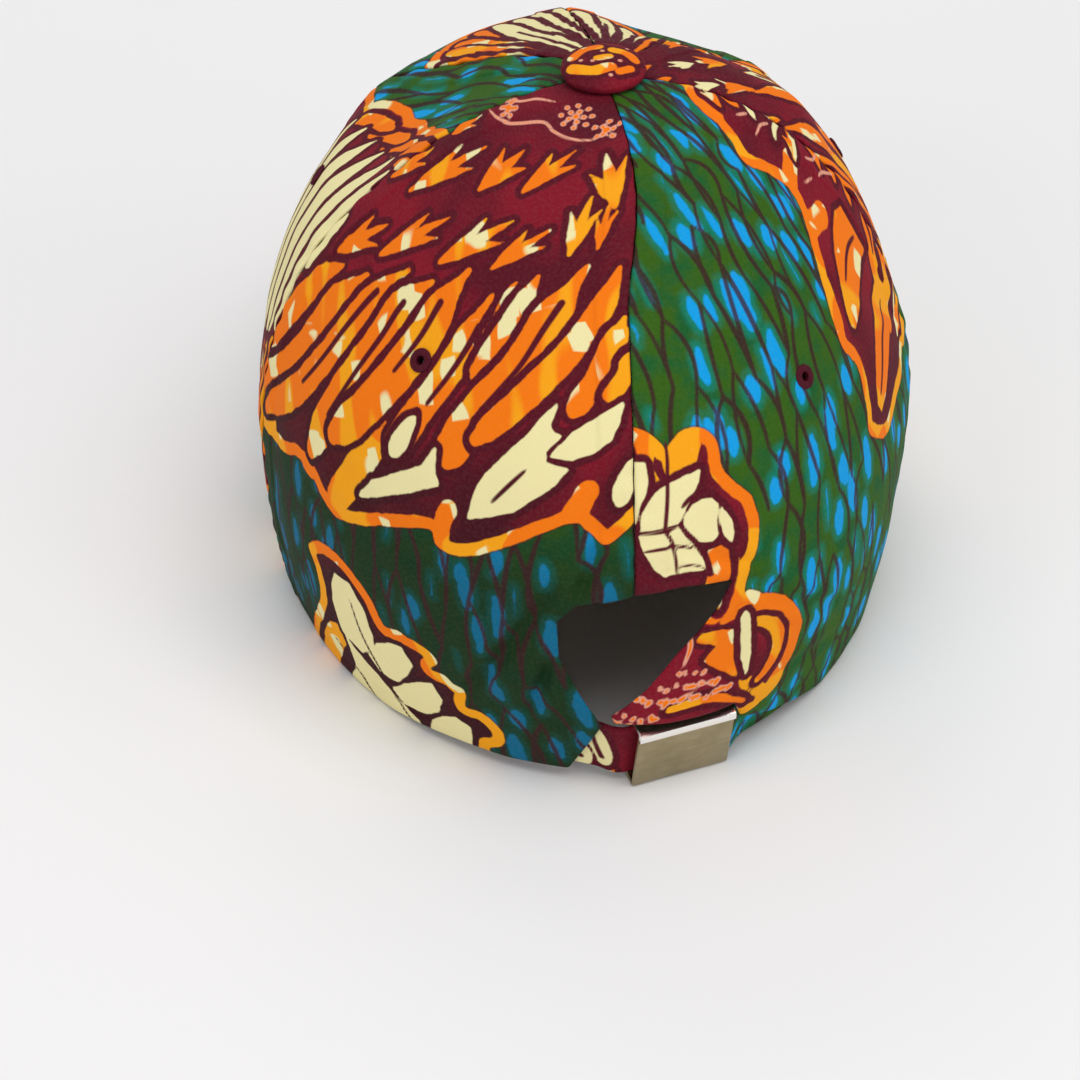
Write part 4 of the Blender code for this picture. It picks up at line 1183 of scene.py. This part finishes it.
def flatPlace(panel, angle, rise):
    # where a point of the panel lies on its flat cloth
    middle = (panel["start"] + panel["end"]) / 2
    riseTable = np.sin(np.linspace(0, math.pi / 2, flatTable["rises"]))
    up = np.interp(rise, riseTable, lineLengths(crownPoint(middle, riseTable)))
    past = flatTable["past"]
    angleTable = np.linspace(panel["start"] - past, panel["end"] + past, flatTable["columns"])
    riseSteps = np.sin(np.linspace(0, math.pi / 2 * flatTable["top"], flatTable["rows"]))
    around = lineLengths(crownPoint(angleTable[None, :], riseSteps[:, None]))
    around -= np.array([np.interp(middle, angleTable, row) for row in around])[:, None]
    column = np.interp(angle, angleTable, np.arange(len(angleTable)))
    row = np.interp(rise, riseSteps, np.arange(len(riseSteps)))
    left = np.minimum(column.astype(int), len(angleTable) - 2)
    under = np.minimum(row.astype(int), len(riseSteps) - 2)
    toRight = column - left
    toTop = row - under
    low = around[under, left] * (1 - toRight) + around[under, left + 1] * toRight
    high = around[under + 1, left] * (1 - toRight) + around[under + 1, left + 1] * toRight
    return low * (1 - toTop) + high * toTop, up


def seamLimits(panel, rise):
    # first and last angle of the panel at each height
    above = rise - backSeam["driftTop"]
    drift = backSeam["drift"] * (1 - smoothStep(rise / backSeam["driftTop"]))
    drift = drift + backSeam["topDrift"] * smoothStep(above / (1 - backSeam["driftTop"]))
    start = np.full_like(rise, panel["start"])
    end = np.full_like(rise, panel["end"])
    if panel["start"] == 0:
        lap = (backCorner["lap"] + drift) * (1 - smoothStep(rise / backCorner["top"]))
        start = start + drift - lap
    if panel["end"] == 360:
        end = end + drift
    return start, end


def panelGrid(panel, corner):
    # the panel's faces with its opening edge and its air hole cut out, on the bare crown
    share = np.linspace(0, 1, panelRows + 1)[:, None]
    across = np.linspace(0, 1, panel["columns"] + 1)[None, :]
    first = panel["start"] + (panel["end"] - panel["start"]) * across
    low = np.arcsin(rimHeight(first) / crown["height"])
    hole = crown["topHole"] / crown["rimHalfWidth"] / math.sqrt(crown["shoulder"] / 2)
    rise = np.sin(low + (math.pi / 2 - hole - low) * share)
    start, end = seamLimits(panel, rise)
    lean = np.array([crown["leanRight"], crown["leanFront"]])
    fromAxis = crownPoint(first, rise)[..., :2] - lean * rise[..., None] ** crown["leanPower"]
    inset = np.degrees(crown["seamGap"] / 2 / np.linalg.norm(fromAxis, axis=-1))
    angle = start + inset + (end - start - 2 * inset) * across
    point = crownPoint(angle, rise, corner)
    holeAt = crownPoint(panel["holeAngle"], panel["holeRise"])
    toHole = np.linalg.norm(point - holeAt, axis=-1) - eyeletShape["cut"]
    return clippedFaces(np.minimum(openingDistance(panel, point), toHole), angle, rise)


def makePanel(panel):
    corner = panel["node"] == "panel_back_right"
    finish = clothFinish
    angle, rise, faces = panelGrid(panel, corner)
    point = crownPoint(angle, rise, corner)
    normal = crownNormal(angle, rise, corner)
    right, up = flatPlace(panel, angle, rise)
    start, end = seamLimits(panel, rise)
    scale = np.linalg.norm(degreeAlong(angle, rise), axis=-1)
    toStart = (angle - start) * scale
    toEnd = (end - angle) * scale
    toSeam = np.minimum(toStart, toEnd)
    under = point[:, 2] < finish["openingSeamFrom"]    # there a back panel ends without a seam
    if panel["end"] == 360:
        toSeam = np.where(under, toStart, toSeam)
    if panel["start"] == 0:
        toSeam = np.where(under, toEnd, toSeam)
    toSeam = np.maximum(toSeam, 0)
    toEdge = np.minimum(point[:, 2] - rimHeight(angle), openingDistance(panel, point))
    nearTop = smoothStep((1 - rise) / finish["smoothTop"])
    push = -finish["seamRoll"] * np.maximum(1 - toSeam / finish["seamRollWidth"], 0) ** 2
    push -= finish["edgeRoll"] * np.maximum(1 - toEdge / finish["edgeRollWidth"], 0) ** 2
    allowance = smoothStep((finish["allowance"] - toSeam) / finish["allowanceSoft"])
    push += finish["allowanceStep"] * allowance * nearTop
    drift = finish["puckerDrift"] * np.sin(up / finish["puckerDriftLength"])
    phase = up * 2 * math.pi / finish["puckerLength"] + drift + panel["seed"]
    fade = np.exp(-toSeam / finish["puckerReach"] * 2)
    push += finish["pucker"] * np.sin(phase) * fade * nearTop
    hem = (toEdge - finish["hemLine"]) / finish["grooveWidth"]
    push -= finish["hemGroove"] * np.exp(-hem ** 2)
    push += finish["wobble"] * clothWobble(right, up, panel["seed"]) * nearTop
    creased = smoothStep(toEdge / finish["creaseFromEdge"])
    creased = creased * smoothStep((point[:, 2] - finish["creaseFrom"]) / finish["creaseFadeIn"])
    push -= creaseDepth(angle, rise) * creased
    point = point + normal * push[:, None]
    point[:, 2] = np.maximum(point[:, 2], finish["offFloor"])
    fields = drawPrint(ClothPrint(right, up), designs[panel["name"]], panel["seed"])
    if panel["start"] == 0:
        strip = np.where(point[:, 2] > finish["openingStripFrom"],
                         finish["openingStrip"] - toEdge, -fieldReach)
        fields["cream"] = np.maximum(fields["cream"], strip)
    noiseRight = right + panel["seed"] * finish["noiseApart"]
    fields["place"] = np.stack([noiseRight, up, np.zeros_like(up)], -1)
    piece = addMesh(panel["name"], point, faces, [clothFace, clothReverse], fields)
    wall = piece.modifiers.new("wall", "SOLIDIFY")
    wall.thickness = finish["wall"] * mm
    wall.offset = -1
    wall.use_rim = True
    wall.material_offset = 1
    wall.material_offset_rim = 0
    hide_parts(panel["node"])
    print(panel["name"], len(point), "points")


for panel in panels:
    makePanel(panel)


def turnedMesh(profile, sides, place, across, outward, ridges):
    # a profile of radius and height turned round an axis; ridges moves each ring's points out
    other = np.cross(outward, across)
    turn = np.linspace(0, 2 * math.pi, sides, endpoint=False)
    points = []
    faces = []
    rings = []
    for step, (radius, height) in enumerate(profile):
        if radius == 0:
            rings.append([len(points)] * sides)
            points.append(place + outward * height)
            continue
        rings.append(list(range(len(points), len(points) + sides)))
        for angle, more in zip(turn, ridges(step, turn)):
            side = across * math.cos(angle) + other * math.sin(angle)
            points.append(place + side * (radius + more * 0.5) + outward * (height + more))
    for one, two in zip(rings, rings[1:]):
        for i in range(sides):
            j = (i + 1) % sides
            faces.append(list(dict.fromkeys([one[i], two[i], two[j], one[j]])))
    return points, faces


def frameOnCrown(angle, rise):
    place = crownPoint(angle, rise)
    outward = crownNormal(np.array([angle], float), np.array([rise]))[0]
    across = unit(np.cross(np.array([0, 0, 1.0]), outward))
    return place, across, outward


def makeThreadMaterial():
    material, w, shader = newMaterial("eyeletThread")
    spot = w.node("ShaderNodeTexCoord").outputs["Object"]
    w.feed(shader, {
        "Base Color": w.mix(w.noise(spot, 900.0), tint(58, 4, 22), tint(92, 12, 34)),
        "Roughness": 0.7,
        "Specular IOR Level": 0.2,
    })
    return material


def makeEyelet(panel, material):
    shape = eyeletShape
    place, across, outward = frameOnCrown(panel["holeAngle"], panel["holeRise"])
    hole, sleeve, ring = shape["hole"], shape["sleeve"], shape["ring"]
    proud, seat, inside = shape["proud"], shape["seat"], shape["inside"]
    flange = ring - shape["bevel"] * 0.4
    outer = curve([(hole, 0.0), (hole + 0.12, proud - 0.2), (sleeve, proud),
                   (ring - 0.25, proud - 0.25), (ring, seat + 0.1), (flange, seat - 0.15)], 4)
    inner = [(sleeve, seat - 0.3), (sleeve, inside), (flange, inside - 0.05),
             (sleeve, inside - shape["innerFlange"]), (hole, inside - 0.3), (hole, 0.0)]

    def ridges(step, turn):
        if step < 2 or step > len(outer) - 3:
            return np.zeros(len(turn))
        return shape["stitchDepth"] * (np.abs(np.cos(turn * shape["stitches"] / 2)) - 0.6)

    profile = outer.tolist() + inner
    points, faces = turnedMesh(profile, shape["stitches"] * 6, place, across, outward, ridges)
    piece = addMesh(panel["eyelet"].replace("_", "-"), points, faces, [material])
    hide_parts(panel["eyelet"])


threadMaterial = makeThreadMaterial()
for panel in panels:
    makeEyelet(panel, threadMaterial)
print("eyelets made")


buttonShape = dict(
    radius=10.5, height=5.0, edge=1.5, seat=0.35, undercut=0.96, shank=2.2, under=-2.2, washer=6.0,
    washerThickness=1.2, sides=120, domeSteps=28, domeAngle=86, pleats=15, pleatDepth=0.16,
    noiseRight=900,
)
buttonDesign = {
    "patches": [    # width, path
        (3.6, [(-9, 3), (-4, 5.5), (1, 4.6)]),
        (3.4, [(-8, -2), (-5, -5), (-1, -6)]),
        (3.2, [(3, -3.5), (6.5, -2), (8.5, 1)]),
        (2.6, [(3.5, 6.5), (6.5, 5)]),
        (2.4, [(-1.5, 0.5), (1.5, 0)]),
    ],
    "lace": [(-3, 1.5), (0, -3), (4, 2), (-6, 0.5), (1, 7.8), (7, -5.5)],
}


def makeButton():
    shape = buttonShape
    radius, edge, seat = shape["radius"], shape["edge"], shape["seat"]
    shank, under, washer = shape["shank"], shape["under"], shape["washer"]
    place = crownPoint(0.0, 1.0)
    profile = [(0, shape["height"])]
    for step in range(1, shape["domeSteps"] + 1):
        turn = math.radians(shape["domeAngle"] * step / shape["domeSteps"])
        profile.append((radius * math.sin(turn),
                        edge + (shape["height"] - edge) * math.cos(turn)))
    profile += [(radius, edge), (radius * 0.992, edge * 0.55), (radius * shape["undercut"], seat),
                (shank, seat), (shank, under), (washer - 0.2, under - 0.05),
                (washer, under - 0.3), (washer, under - 0.9),
                (washer - 0.3, under - shape["washerThickness"]),
                (0, under - shape["washerThickness"])]

    def ridges(step, turn):
        share = smoothStep((step - 17) / 11) * (step < 31)
        pleats = np.cos(turn * shape["pleats"] + 0.6 * np.sin(turn * 4))
        return shape["pleatDepth"] * share * pleats

    rightward = np.array([1.0, 0, 0])
    upward = np.array([0, 0, 1.0])
    points, faces = turnedMesh(profile, shape["sides"], place, rightward, upward, ridges)
    offset = np.array(points) - place
    flat = offset[:, :2] * (1 + 0.25 * np.clip((5.6 - offset[:, 2:3]) / 5, 0, 1))
    cloth = ClothPrint(-flat[:, 0], flat[:, 1])
    cloth.fields["zone"][:] = -20
    for width, path in buttonDesign["patches"]:
        cloth.line("blade", curve(path), width / 2)
    for spot in buttonDesign["lace"]:
        cloth.dot(spot, 0.6)
    nothing = np.zeros(len(flat))
    # no painted shade on the button
    fields = dict(cloth.fields, deep=nothing)
    fields["place"] = np.stack([-flat[:, 0] + shape["noiseRight"], flat[:, 1], nothing], -1)
    piece = addMesh("coveredButton", points, faces, [clothFace], fields)
    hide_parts("button")


makeButton()
print("button made")


peakShape = dict(
    reach=70, halfAngle=68, halfWidth=79, thickness=3.8, frontDrop=3, corner=4, seat=0.3, lean=1.2,
    sidePower=0.92, frontPower=0.72, archPower=1.3, rows=84, columns=230, stitchRow=5.0,
    grooveDepth=0.35, grooveWidth=0.7,
    sweepShare=0.999, crowding=1.5, rearRounding=0.35, grooveFromSeam=3, seed=17, noiseRight=700,
)
peakDesign = dict(
    ground=dict(greenGround, lean=0.05, gather=0.1),
    featherRows=[
        ("blade", (-56, 34), (18, 54), 8, (-58, 10), (24, 38), -2, 11, 7.4, -3, 0.6, 0.7),
    ],
    tuftRows=[
        ("cream", (-40, 48), (6, 56), 3, 6, 250, 9, 3.6),
    ],
    leaves=[
        ((38, 10), (48, 32), 11, 1, 0.6),
        ((43, 10), (60, 22), 9, -1, 0.5),
    ],
)


def peakTop(across, forward):
    # points of the peak's top: -1 to 1 from end to end, 0 at its seam to 1 at its front edge
    shape = peakShape
    angle = 180 + shape["halfAngle"] * across
    rise = rimHeight(angle) / crown["height"]
    rearRim = crownPoint(angle, rise)
    normal = crownNormal(angle, rise + shape["thickness"] / crown["height"])
    lean = np.abs(normal[:, 2:3]) * shape["thickness"] * shape["lean"]
    rear = rearRim[:, :2] + unit(normal[:, :2]) * (shape["seat"] + lean)
    sweep = math.pi / 2 * across
    sine = np.abs(np.sin(sweep)) ** shape["sidePower"]
    cosine = np.maximum(np.cos(sweep), 0)
    endY = crownPoint(180 + shape["halfAngle"], 0.0)[1] - shape["corner"]
    frontY = -crown["rimHalfLength"] - shape["reach"]
    front = np.stack([
        shape["halfWidth"] * np.sign(sweep) * sine,
        endY - (endY - frontY) * cosine ** shape["frontPower"],
    ], -1)
    place = rear + (front - rear) * forward[:, None]
    rearArch = crown["frontArch"] * rimArch(rearRim[:, 0])
    frontArch = (crown["frontArch"] - shape["frontDrop"]) * cosine ** shape["archPower"]
    height = shape["thickness"] + rearArch + (frontArch - rearArch) * forward
    return np.column_stack([place, height])


def makePeak():
    shape = peakShape
    half = shape["thickness"] / 2
    columns = shape["columns"]
    rows = shape["rows"]
    across = np.sin(np.linspace(-math.pi / 2, math.pi / 2, columns + 1) * shape["sweepShare"])
    across = across / across[-1]
    forward = 1 - (1 - np.linspace(0, 1, rows + 1)) ** shape["crowding"]
    grid = np.array([peakTop(across, np.full(columns + 1, share)) for share in forward])
    lengths = np.linalg.norm(grid[-1] - grid[0], axis=-1)
    toFront = (1 - forward)[:, None] * lengths[None, :]
    toRear = forward[:, None] * lengths[None, :]
    sides = lineLengths(grid)
    toSide = np.minimum(sides, sides[:, -1:] - sides)
    toEdge = np.minimum(toFront, toSide)

    def rounding(distance):
        return np.sqrt(1 - np.clip(1 - distance / half, 0, 1) ** 2)

    thick = half * rounding(toFront) * rounding(toSide)
    thick = thick * rounding(toRear + half * shape["rearRounding"])
    groove = np.exp(-((toEdge - shape["stitchRow"]) / shape["grooveWidth"]) ** 2)
    groove = shape["grooveDepth"] * groove * (toRear > shape["grooveFromSeam"])
    thick = np.maximum(thick - groove, 0)
    lift = thick[..., None] * np.array([0, 0, 1.0])
    middle = grid - np.array([0, 0, half])
    points = np.concatenate([(middle + lift).reshape(-1, 3), (middle - lift).reshape(-1, 3)])
    index = np.arange(grid.shape[0] * grid.shape[1]).reshape(grid.shape[:2])
    below = index + index.size
    below[-1, :] = index[-1, :]    # top and underside share the points of the outer edge
    below[:, [0, -1]] = index[:, [0, -1]]
    rear = np.stack([index[0], below[0]])
    faces = np.concatenate([gridFaces(index)[:, ::-1], gridFaces(below), gridFaces(rear)])
    faces = [list(dict.fromkeys(face)) for face in faces.tolist()]
    faces = [face for face in faces if len(face) > 2]
    right = points[:, 0]
    up = points[:, 1] + crown["rimHalfLength"] + shape["reach"]
    fields = drawPrint(ClothPrint(-right, up), peakDesign, shape["seed"])
    fields["place"] = np.stack([right + shape["noiseRight"], up, np.zeros_like(up)], -1)
    piece = addMesh("finishedPeak", points, faces, [clothFace], fields)
    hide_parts("peak")


makePeak()
print("peak made")


bandShape = dict(
    width=17, thickness=1.6, bottom=1.8, leftLift=2.6, liftLength=16, gap=0.45, wall=1.6,
    blendLength=8.5, overLength=6, overStart=1, step=0.7, stitchRow=1.9, stitchWidth=0.45,
    stitchDepth=0.12, edgePoints=9, facePoints=34, endThickness=0.02, noiseApart=50,
)
# sizes of the buckle; from 7.6 mm above its middle, the flange's top has a painted highlight and is
# smoother
buckleShape = dict(
    middle=14, length=25.5, plate=1.1, rounding=0.8, lip=0.9, lipWidth=2.1, bevel=0.22,
    polishAndHighlightFrom=7.6, sharpFrom=38, mergeWithin=0.00001,
)
metal = {
    "light": tint(180, 166, 132),
    "plain": tint(150, 136, 104),
    "stain": tint(140, 128, 92),
    # painted highlight colour on the flange
    "polishedAndHighlit": tint(246, 243, 236),
    "brush": (0.12, 7.0, 7.0),
    "streaks": (0.5, 0.25),
    "stainScale": 0.16,
    "stainPatches": (0.48, 0.2),
    "stainShare": 0.6,
    "polishAndHighlightSoft": 0.25,
    "roughness": 0.26,
    "streakRoughness": 0.2,
    "smoothing": 0.45,
    "bumpStrength": 0.25,
    "bumpHeight": 0.00004,
}
bands = [
    dict(name="strapBand", node="strap", start=-62, end=58, onTop=False, seed=18),
    dict(name="tabBand", node="strap_tab", start=19.5, end=92, onTop=True, seed=19),
]
bandDesigns = {}
bandDesigns["strapBand"] = dict(
    ground=dict(greenGround, gather=0.0),
    zones=[
        [(-70, -12), (70, -12), (70, 12), (-70, 12)],
    ],
    leaves=[
        ((-4.5, -6), (-8, 10), 6.5, 1, 0.7),
        ((-9, -7), (-16, 6), 7.5, 1, 0.7),
    ],
    lines=[
        ("blade", 4.2, [(-22, -6.5), (-14, -7.5), (-7, -6), (-3, -8)]),
        ("blade", 4.2, [(-28, 2), (-22, 5)]),
        ("blade", 3.4, [(6, 3), (16, 4), (26, 2)]),
    ],
)
bandDesigns["tabBand"] = dict(
    ground=dict(greenGround, gather=0.0, lean=0.6, meshWidth=8.0, meshHeight=8.0, dropShare=0.8),
)


def rimLengths():
    # angles and lengths along the rim from the middle of the back
    angle = np.arange(-110, 110.1, 0.5)
    length = lineLengths(crownPoint(angle, 0.0))
    return angle, length - np.interp(0, angle, length)


rimAngles, rimAlong = rimLengths()


def strapFollow(length):
    angle = np.interp(length, rimAlong, rimAngles)
    lift = bandShape["leftLift"] * smoothStep(-length / bandShape["liftLength"])
    rise = (bandShape["bottom"] + bandShape["width"] / 2 + lift) / crown["height"]
    return crownPoint(angle, rise), crownNormal(angle, rise)


def strapLine(length, depth):
    # the middle of a strap's outer face, and its outward and upward directions
    length = np.atleast_1d(np.asarray(length, float))
    point, normal = strapFollow(length)
    centre, straight = strapFollow(np.array([buckleShape["middle"]], float))
    along = unit(np.cross(np.array([0, 0, 1.0]), straight[0]))
    past = length - buckleShape["middle"]
    onLine = centre[0] + along * past[:, None]
    outside = np.abs(past) - buckleShape["length"] / 2
    share = smoothStep(outside / bandShape["blendLength"])[:, None]
    point = onLine + (point - onLine) * share
    normal = unit(straight[0] + (normal - straight[0]) * share)
    sideways = unit(np.cross(np.array([0, 0, 1.0]), normal))
    up = np.cross(normal, sideways)
    return point - normal * np.asarray(depth)[..., None], normal, up


def strapDepth(length):
    layer = bandShape["thickness"] + bandShape["gap"]
    past = length - buckleShape["middle"] - buckleShape["length"] / 2
    beyond = smoothStep((past + bandShape["overStart"]) / bandShape["overLength"])
    return bandShape["wall"] + bandShape["gap"] + layer * beyond


def makeBand(band):
    # a folded strap with soft edges and a stitch line along each
    shape = bandShape
    start, end = band["start"], band["end"]
    steps = int((end - start) / shape["step"])
    length = np.linspace(start, end, steps + 1)
    depth = strapDepth(length)
    if band["onTop"]:
        depth = depth - shape["thickness"] - shape["gap"]
    middle, normal, up = strapLine(length, depth)
    half = shape["width"] / 2
    thick = shape["thickness"] / 2
    turn = np.linspace(0, math.pi, shape["edgePoints"])
    edge = np.column_stack([half - thick + thick * np.sin(turn), thick * np.cos(turn) - thick])
    inner = np.linspace(half - thick, thick - half, shape["facePoints"])[1:-1]
    level = np.zeros(len(inner))
    section = np.concatenate([
        np.column_stack([inner[::-1], level]), edge,
        np.column_stack([inner, level - 2 * thick]), edge[::-1] * (-1, 1),
    ])
    stitch = (half - np.abs(section[:, 0]) - shape["stitchRow"]) / shape["stitchWidth"]
    stitched = np.exp(-stitch ** 2) * shape["stitchDepth"]
    section[:, 1] += np.where(section[:, 1] > -thick, -stitched, stitched)
    count = len(section)
    ends = np.clip(np.minimum(length - start, end - length) / thick, 0, 1)
    ends = np.maximum(np.sqrt(1 - (1 - ends) ** 2), shape["endThickness"])[:, None]
    lift = (section[:, 1] + thick) * ends - thick
    points = middle[:, None] + up[:, None] * section[:, :1] + normal[:, None] * lift[..., None]
    faces = [list(range(count))[::-1], [steps * count + i for i in range(count)]]
    faces += ringFaces(steps + 1, count)
    along = np.repeat(length, count)
    height = np.tile(section[:, 0], steps + 1)
    fields = drawPrint(ClothPrint(along, height), bandDesigns[band["name"]], band["seed"])
    noiseRight = along + band["seed"] * shape["noiseApart"]
    fields["place"] = np.stack([noiseRight, height, np.zeros_like(height)], -1)
    piece = addMesh(band["name"], points.reshape(-1, 3), faces, [clothFace], fields)
    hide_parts(band["node"])


for band in bands:
    makeBand(band)
print("straps made")


def makeBuckleMaterial():
    # brushed metal, drawn along the buckle, with a painted highlight on the flange's smoother top
    material, w, shader = newMaterial("brushedMetal")
    spot = w.attribute("brushed", "Vector")
    streaks = w.noise(w.stretch(spot, metal["brush"]), 1.0, 3, 0.6)
    stain = w.step(w.noise(spot, metal["stainScale"]), *metal["stainPatches"])
    stain = w.times(stain, metal["stainShare"])
    # painted highlight: the flange's top turns near white and smoother
    under = w.step(w.apart(spot)["Y"], buckleShape["polishAndHighlightFrom"], metal["polishAndHighlightSoft"])
    polishedAndHighlit = w.math("SUBTRACT", 1.0, under)
    color = w.mix(w.step(streaks, *metal["streaks"]), metal["light"], metal["plain"])
    color = w.mix(stain, color, metal["stain"])
    rough = w.plus(w.times(streaks, metal["streakRoughness"]), metal["roughness"])
    smoother = w.math("SUBTRACT", 1.0, w.times(polishedAndHighlit, metal["smoothing"]))
    w.feed(shader, {
        "Base Color": w.mix(polishedAndHighlit, color, metal["polishedAndHighlit"]),
        "Metallic": 1.0,
        "Roughness": w.times(rough, smoother),
        "Normal": w.bump(streaks, metal["bumpStrength"], metal["bumpHeight"]),
    })
    return material


def makeBuckle():
    # the closed clamp: a flat tube round the strap, with a raised flange along its top
    shape = buckleShape
    depth = bandShape["wall"] + bandShape["gap"]
    middle, normal, up = [row[0] for row in strapLine(shape["middle"], depth)]
    along = np.cross(up, normal)
    side = bandShape["width"] / 2 + bandShape["gap"]
    outer = bandShape["thickness"] + 2 * bandShape["gap"]
    inner = -bandShape["thickness"] - bandShape["gap"]
    r = shape["rounding"]
    top = side + shape["plate"]
    face = outer + shape["plate"]
    back = inner - shape["plate"]
    raised = face + shape["lip"]
    flange = top - shape["lipWidth"]
    outline = [
        (top, raised - 2 * r), (top - r * 0.3, raised - r * 0.5), (top - r, raised),
        (flange, raised), (flange - r * 0.55, face + shape["lip"] * 0.6), (flange - r, face),
        (-top + r, face), (-top + r * 0.3, face - r * 0.3), (-top, face - r),
        (-top, back + r), (-top + r * 0.3, back + r * 0.3), (-top + r, back),
        (top - r, back), (top - r * 0.3, back + r * 0.3), (top, back + r),
    ]
    hole = [(side, outer)] * 2 + [(side - 1.0, outer)] * 3 + [(side - 2.6, outer)]
    hole += [(-side, outer)] * 3 + [(-side, inner)] * 3 + [(side, inner)] * 3
    bevel = shape["bevel"]
    half = shape["length"] / 2

    def drawIn(line, amount):
        offset = np.array(line, float) - (0, (outer + inner) / 2)
        return line - np.sign(offset) * np.minimum(np.abs(offset), amount)

    loops = [(hole, -half + bevel), (drawIn(hole, -bevel), -half)]
    loops += [(drawIn(outline, bevel), -half), (outline, -half + bevel)]
    loops += [(outline, half - bevel), (drawIn(outline, bevel), half)]
    loops += [(drawIn(hole, -bevel), half), (hole, half - bevel)]
    brushed = np.array([(place, y, z) for line, place in loops for y, z in line])
    points = middle + brushed @ np.stack([along, up, normal])
    faces = ringFaces(len(loops), len(outline), closed=True)
    piece = addMesh("brushedBuckle", points, faces, [makeBuckleMaterial()], {"brushed": brushed})
    piece.data.set_sharp_from_angle(angle=math.radians(shape["sharpFrom"]))
    clean = bmesh.new()
    clean.from_mesh(piece.data)
    bmesh.ops.remove_doubles(clean, verts=clean.verts, dist=shape["mergeWithin"])
    bmesh.ops.recalc_face_normals(clean, faces=clean.faces)
    clean.to_mesh(piece.data)
    clean.free()
    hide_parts("buckle")


makeBuckle()
print("buckle made")


# Floor, light and camera
stage = {
    "half": 6.0,
    "color": tint(246, 244, 243),
    "patches": tint(242, 240, 239),
    "sky": (0.95, 0.97, 1.0, 1.0),
    "skyStrength": 0.5,
}


def makeFloor():
    mesh = bpy.data.meshes.new("floor")
    half = stage["half"]
    corners = [(-half, -half, 0), (half, -half, 0), (half, half, 0), (-half, half, 0)]
    mesh.from_pydata(corners, [], [(0, 1, 2, 3)])
    floor = addObject("floor", mesh)
    material, w, shader = newMaterial("paleFloor")
    spot = w.node("ShaderNodeTexCoord").outputs["Object"]
    color = w.mix(w.noise(spot, 3.0), stage["color"], stage["patches"])
    w.feed(shader, {"Base Color": color, "Roughness": 0.9})
    mesh.materials.append(material)


def turnTo(thing, place, aim):
    thing.location = place
    thing.rotation_mode = "QUATERNION"
    thing.rotation_quaternion = (Vector(aim) - Vector(place)).to_track_quat("-Z", "Y")


def addAreaLight(name, place, aim, size, power):
    light = bpy.data.lights.new(name, "AREA")
    light.shape = "RECTANGLE"
    light.size = size[0]
    light.size_y = size[1]
    light.energy = power
    turnTo(addObject(name, light), place, aim)


lights = named(
    "name place aim size power",
    ("overhead", (-0.3, 0.5, 1.9), (0, 0, 0.05), (1.5, 1.5), 17),
    ("behindLeft", (1.5, 1.6, 1.1), (0, 0, 0.06), (1.2, 1.2), 9),
    ("behindRight", (-1.7, 1.2, 0.9), (0, 0, 0.06), (1.2, 1.2), 6.5),
    ("front", (0.4, -1.9, 1.3), (0, 0, 0.06), (1.6, 1.2), 7),
)
for row in lights:
    addAreaLight(**row)
makeFloor()
world = bpy.data.worlds.new("studio")
world.use_nodes = True
background = world.node_tree.nodes["Background"]
background.inputs["Color"].default_value = stage["sky"]
background.inputs["Strength"].default_value = stage["skyStrength"]
bpy.context.scene.world = world
bpy.context.scene.view_settings.view_transform = "Standard"

# The photograph's view, found from the rim, the button and the opening; targetRight and targetUp
# are the pixels that the target lies to the right of the image's middle and above it
photoView = dict(
    elevation=35, yaw=6.5, distance=1.0, targetHeight=0.060, focalPixels=3891, imagePixels=1080,
    sensor=36, targetRight=40, targetUp=187,
)


def makeCamera():
    view = photoView
    elevation = math.radians(view["elevation"])
    yaw = math.radians(view["yaw"])
    target = Vector((shiftRight * mm, shiftBack * mm, view["targetHeight"]))
    flat = math.cos(elevation)
    back = Vector((math.sin(yaw) * flat, math.cos(yaw) * flat, math.sin(elevation)))
    data = bpy.data.cameras.new("camera")
    data.sensor_width = view["sensor"]
    data.lens = view["focalPixels"] * view["sensor"] / view["imagePixels"]
    data.clip_start = 0.01
    data.clip_end = 50
    data.dof.use_dof = False
    rightward = Vector((0, 0, 1)).cross(back).normalized()
    upward = back.cross(rightward)
    perPixel = view["distance"] / view["focalPixels"]
    aim = target - rightward * view["targetRight"] * perPixel
    aim = aim - upward * view["targetUp"] * perPixel
    camera = addObject("camera", data)
    turnTo(camera, target + back * view["distance"], aim)
    bpy.context.scene.camera = camera


makeCamera()
print("stage, light and camera made")
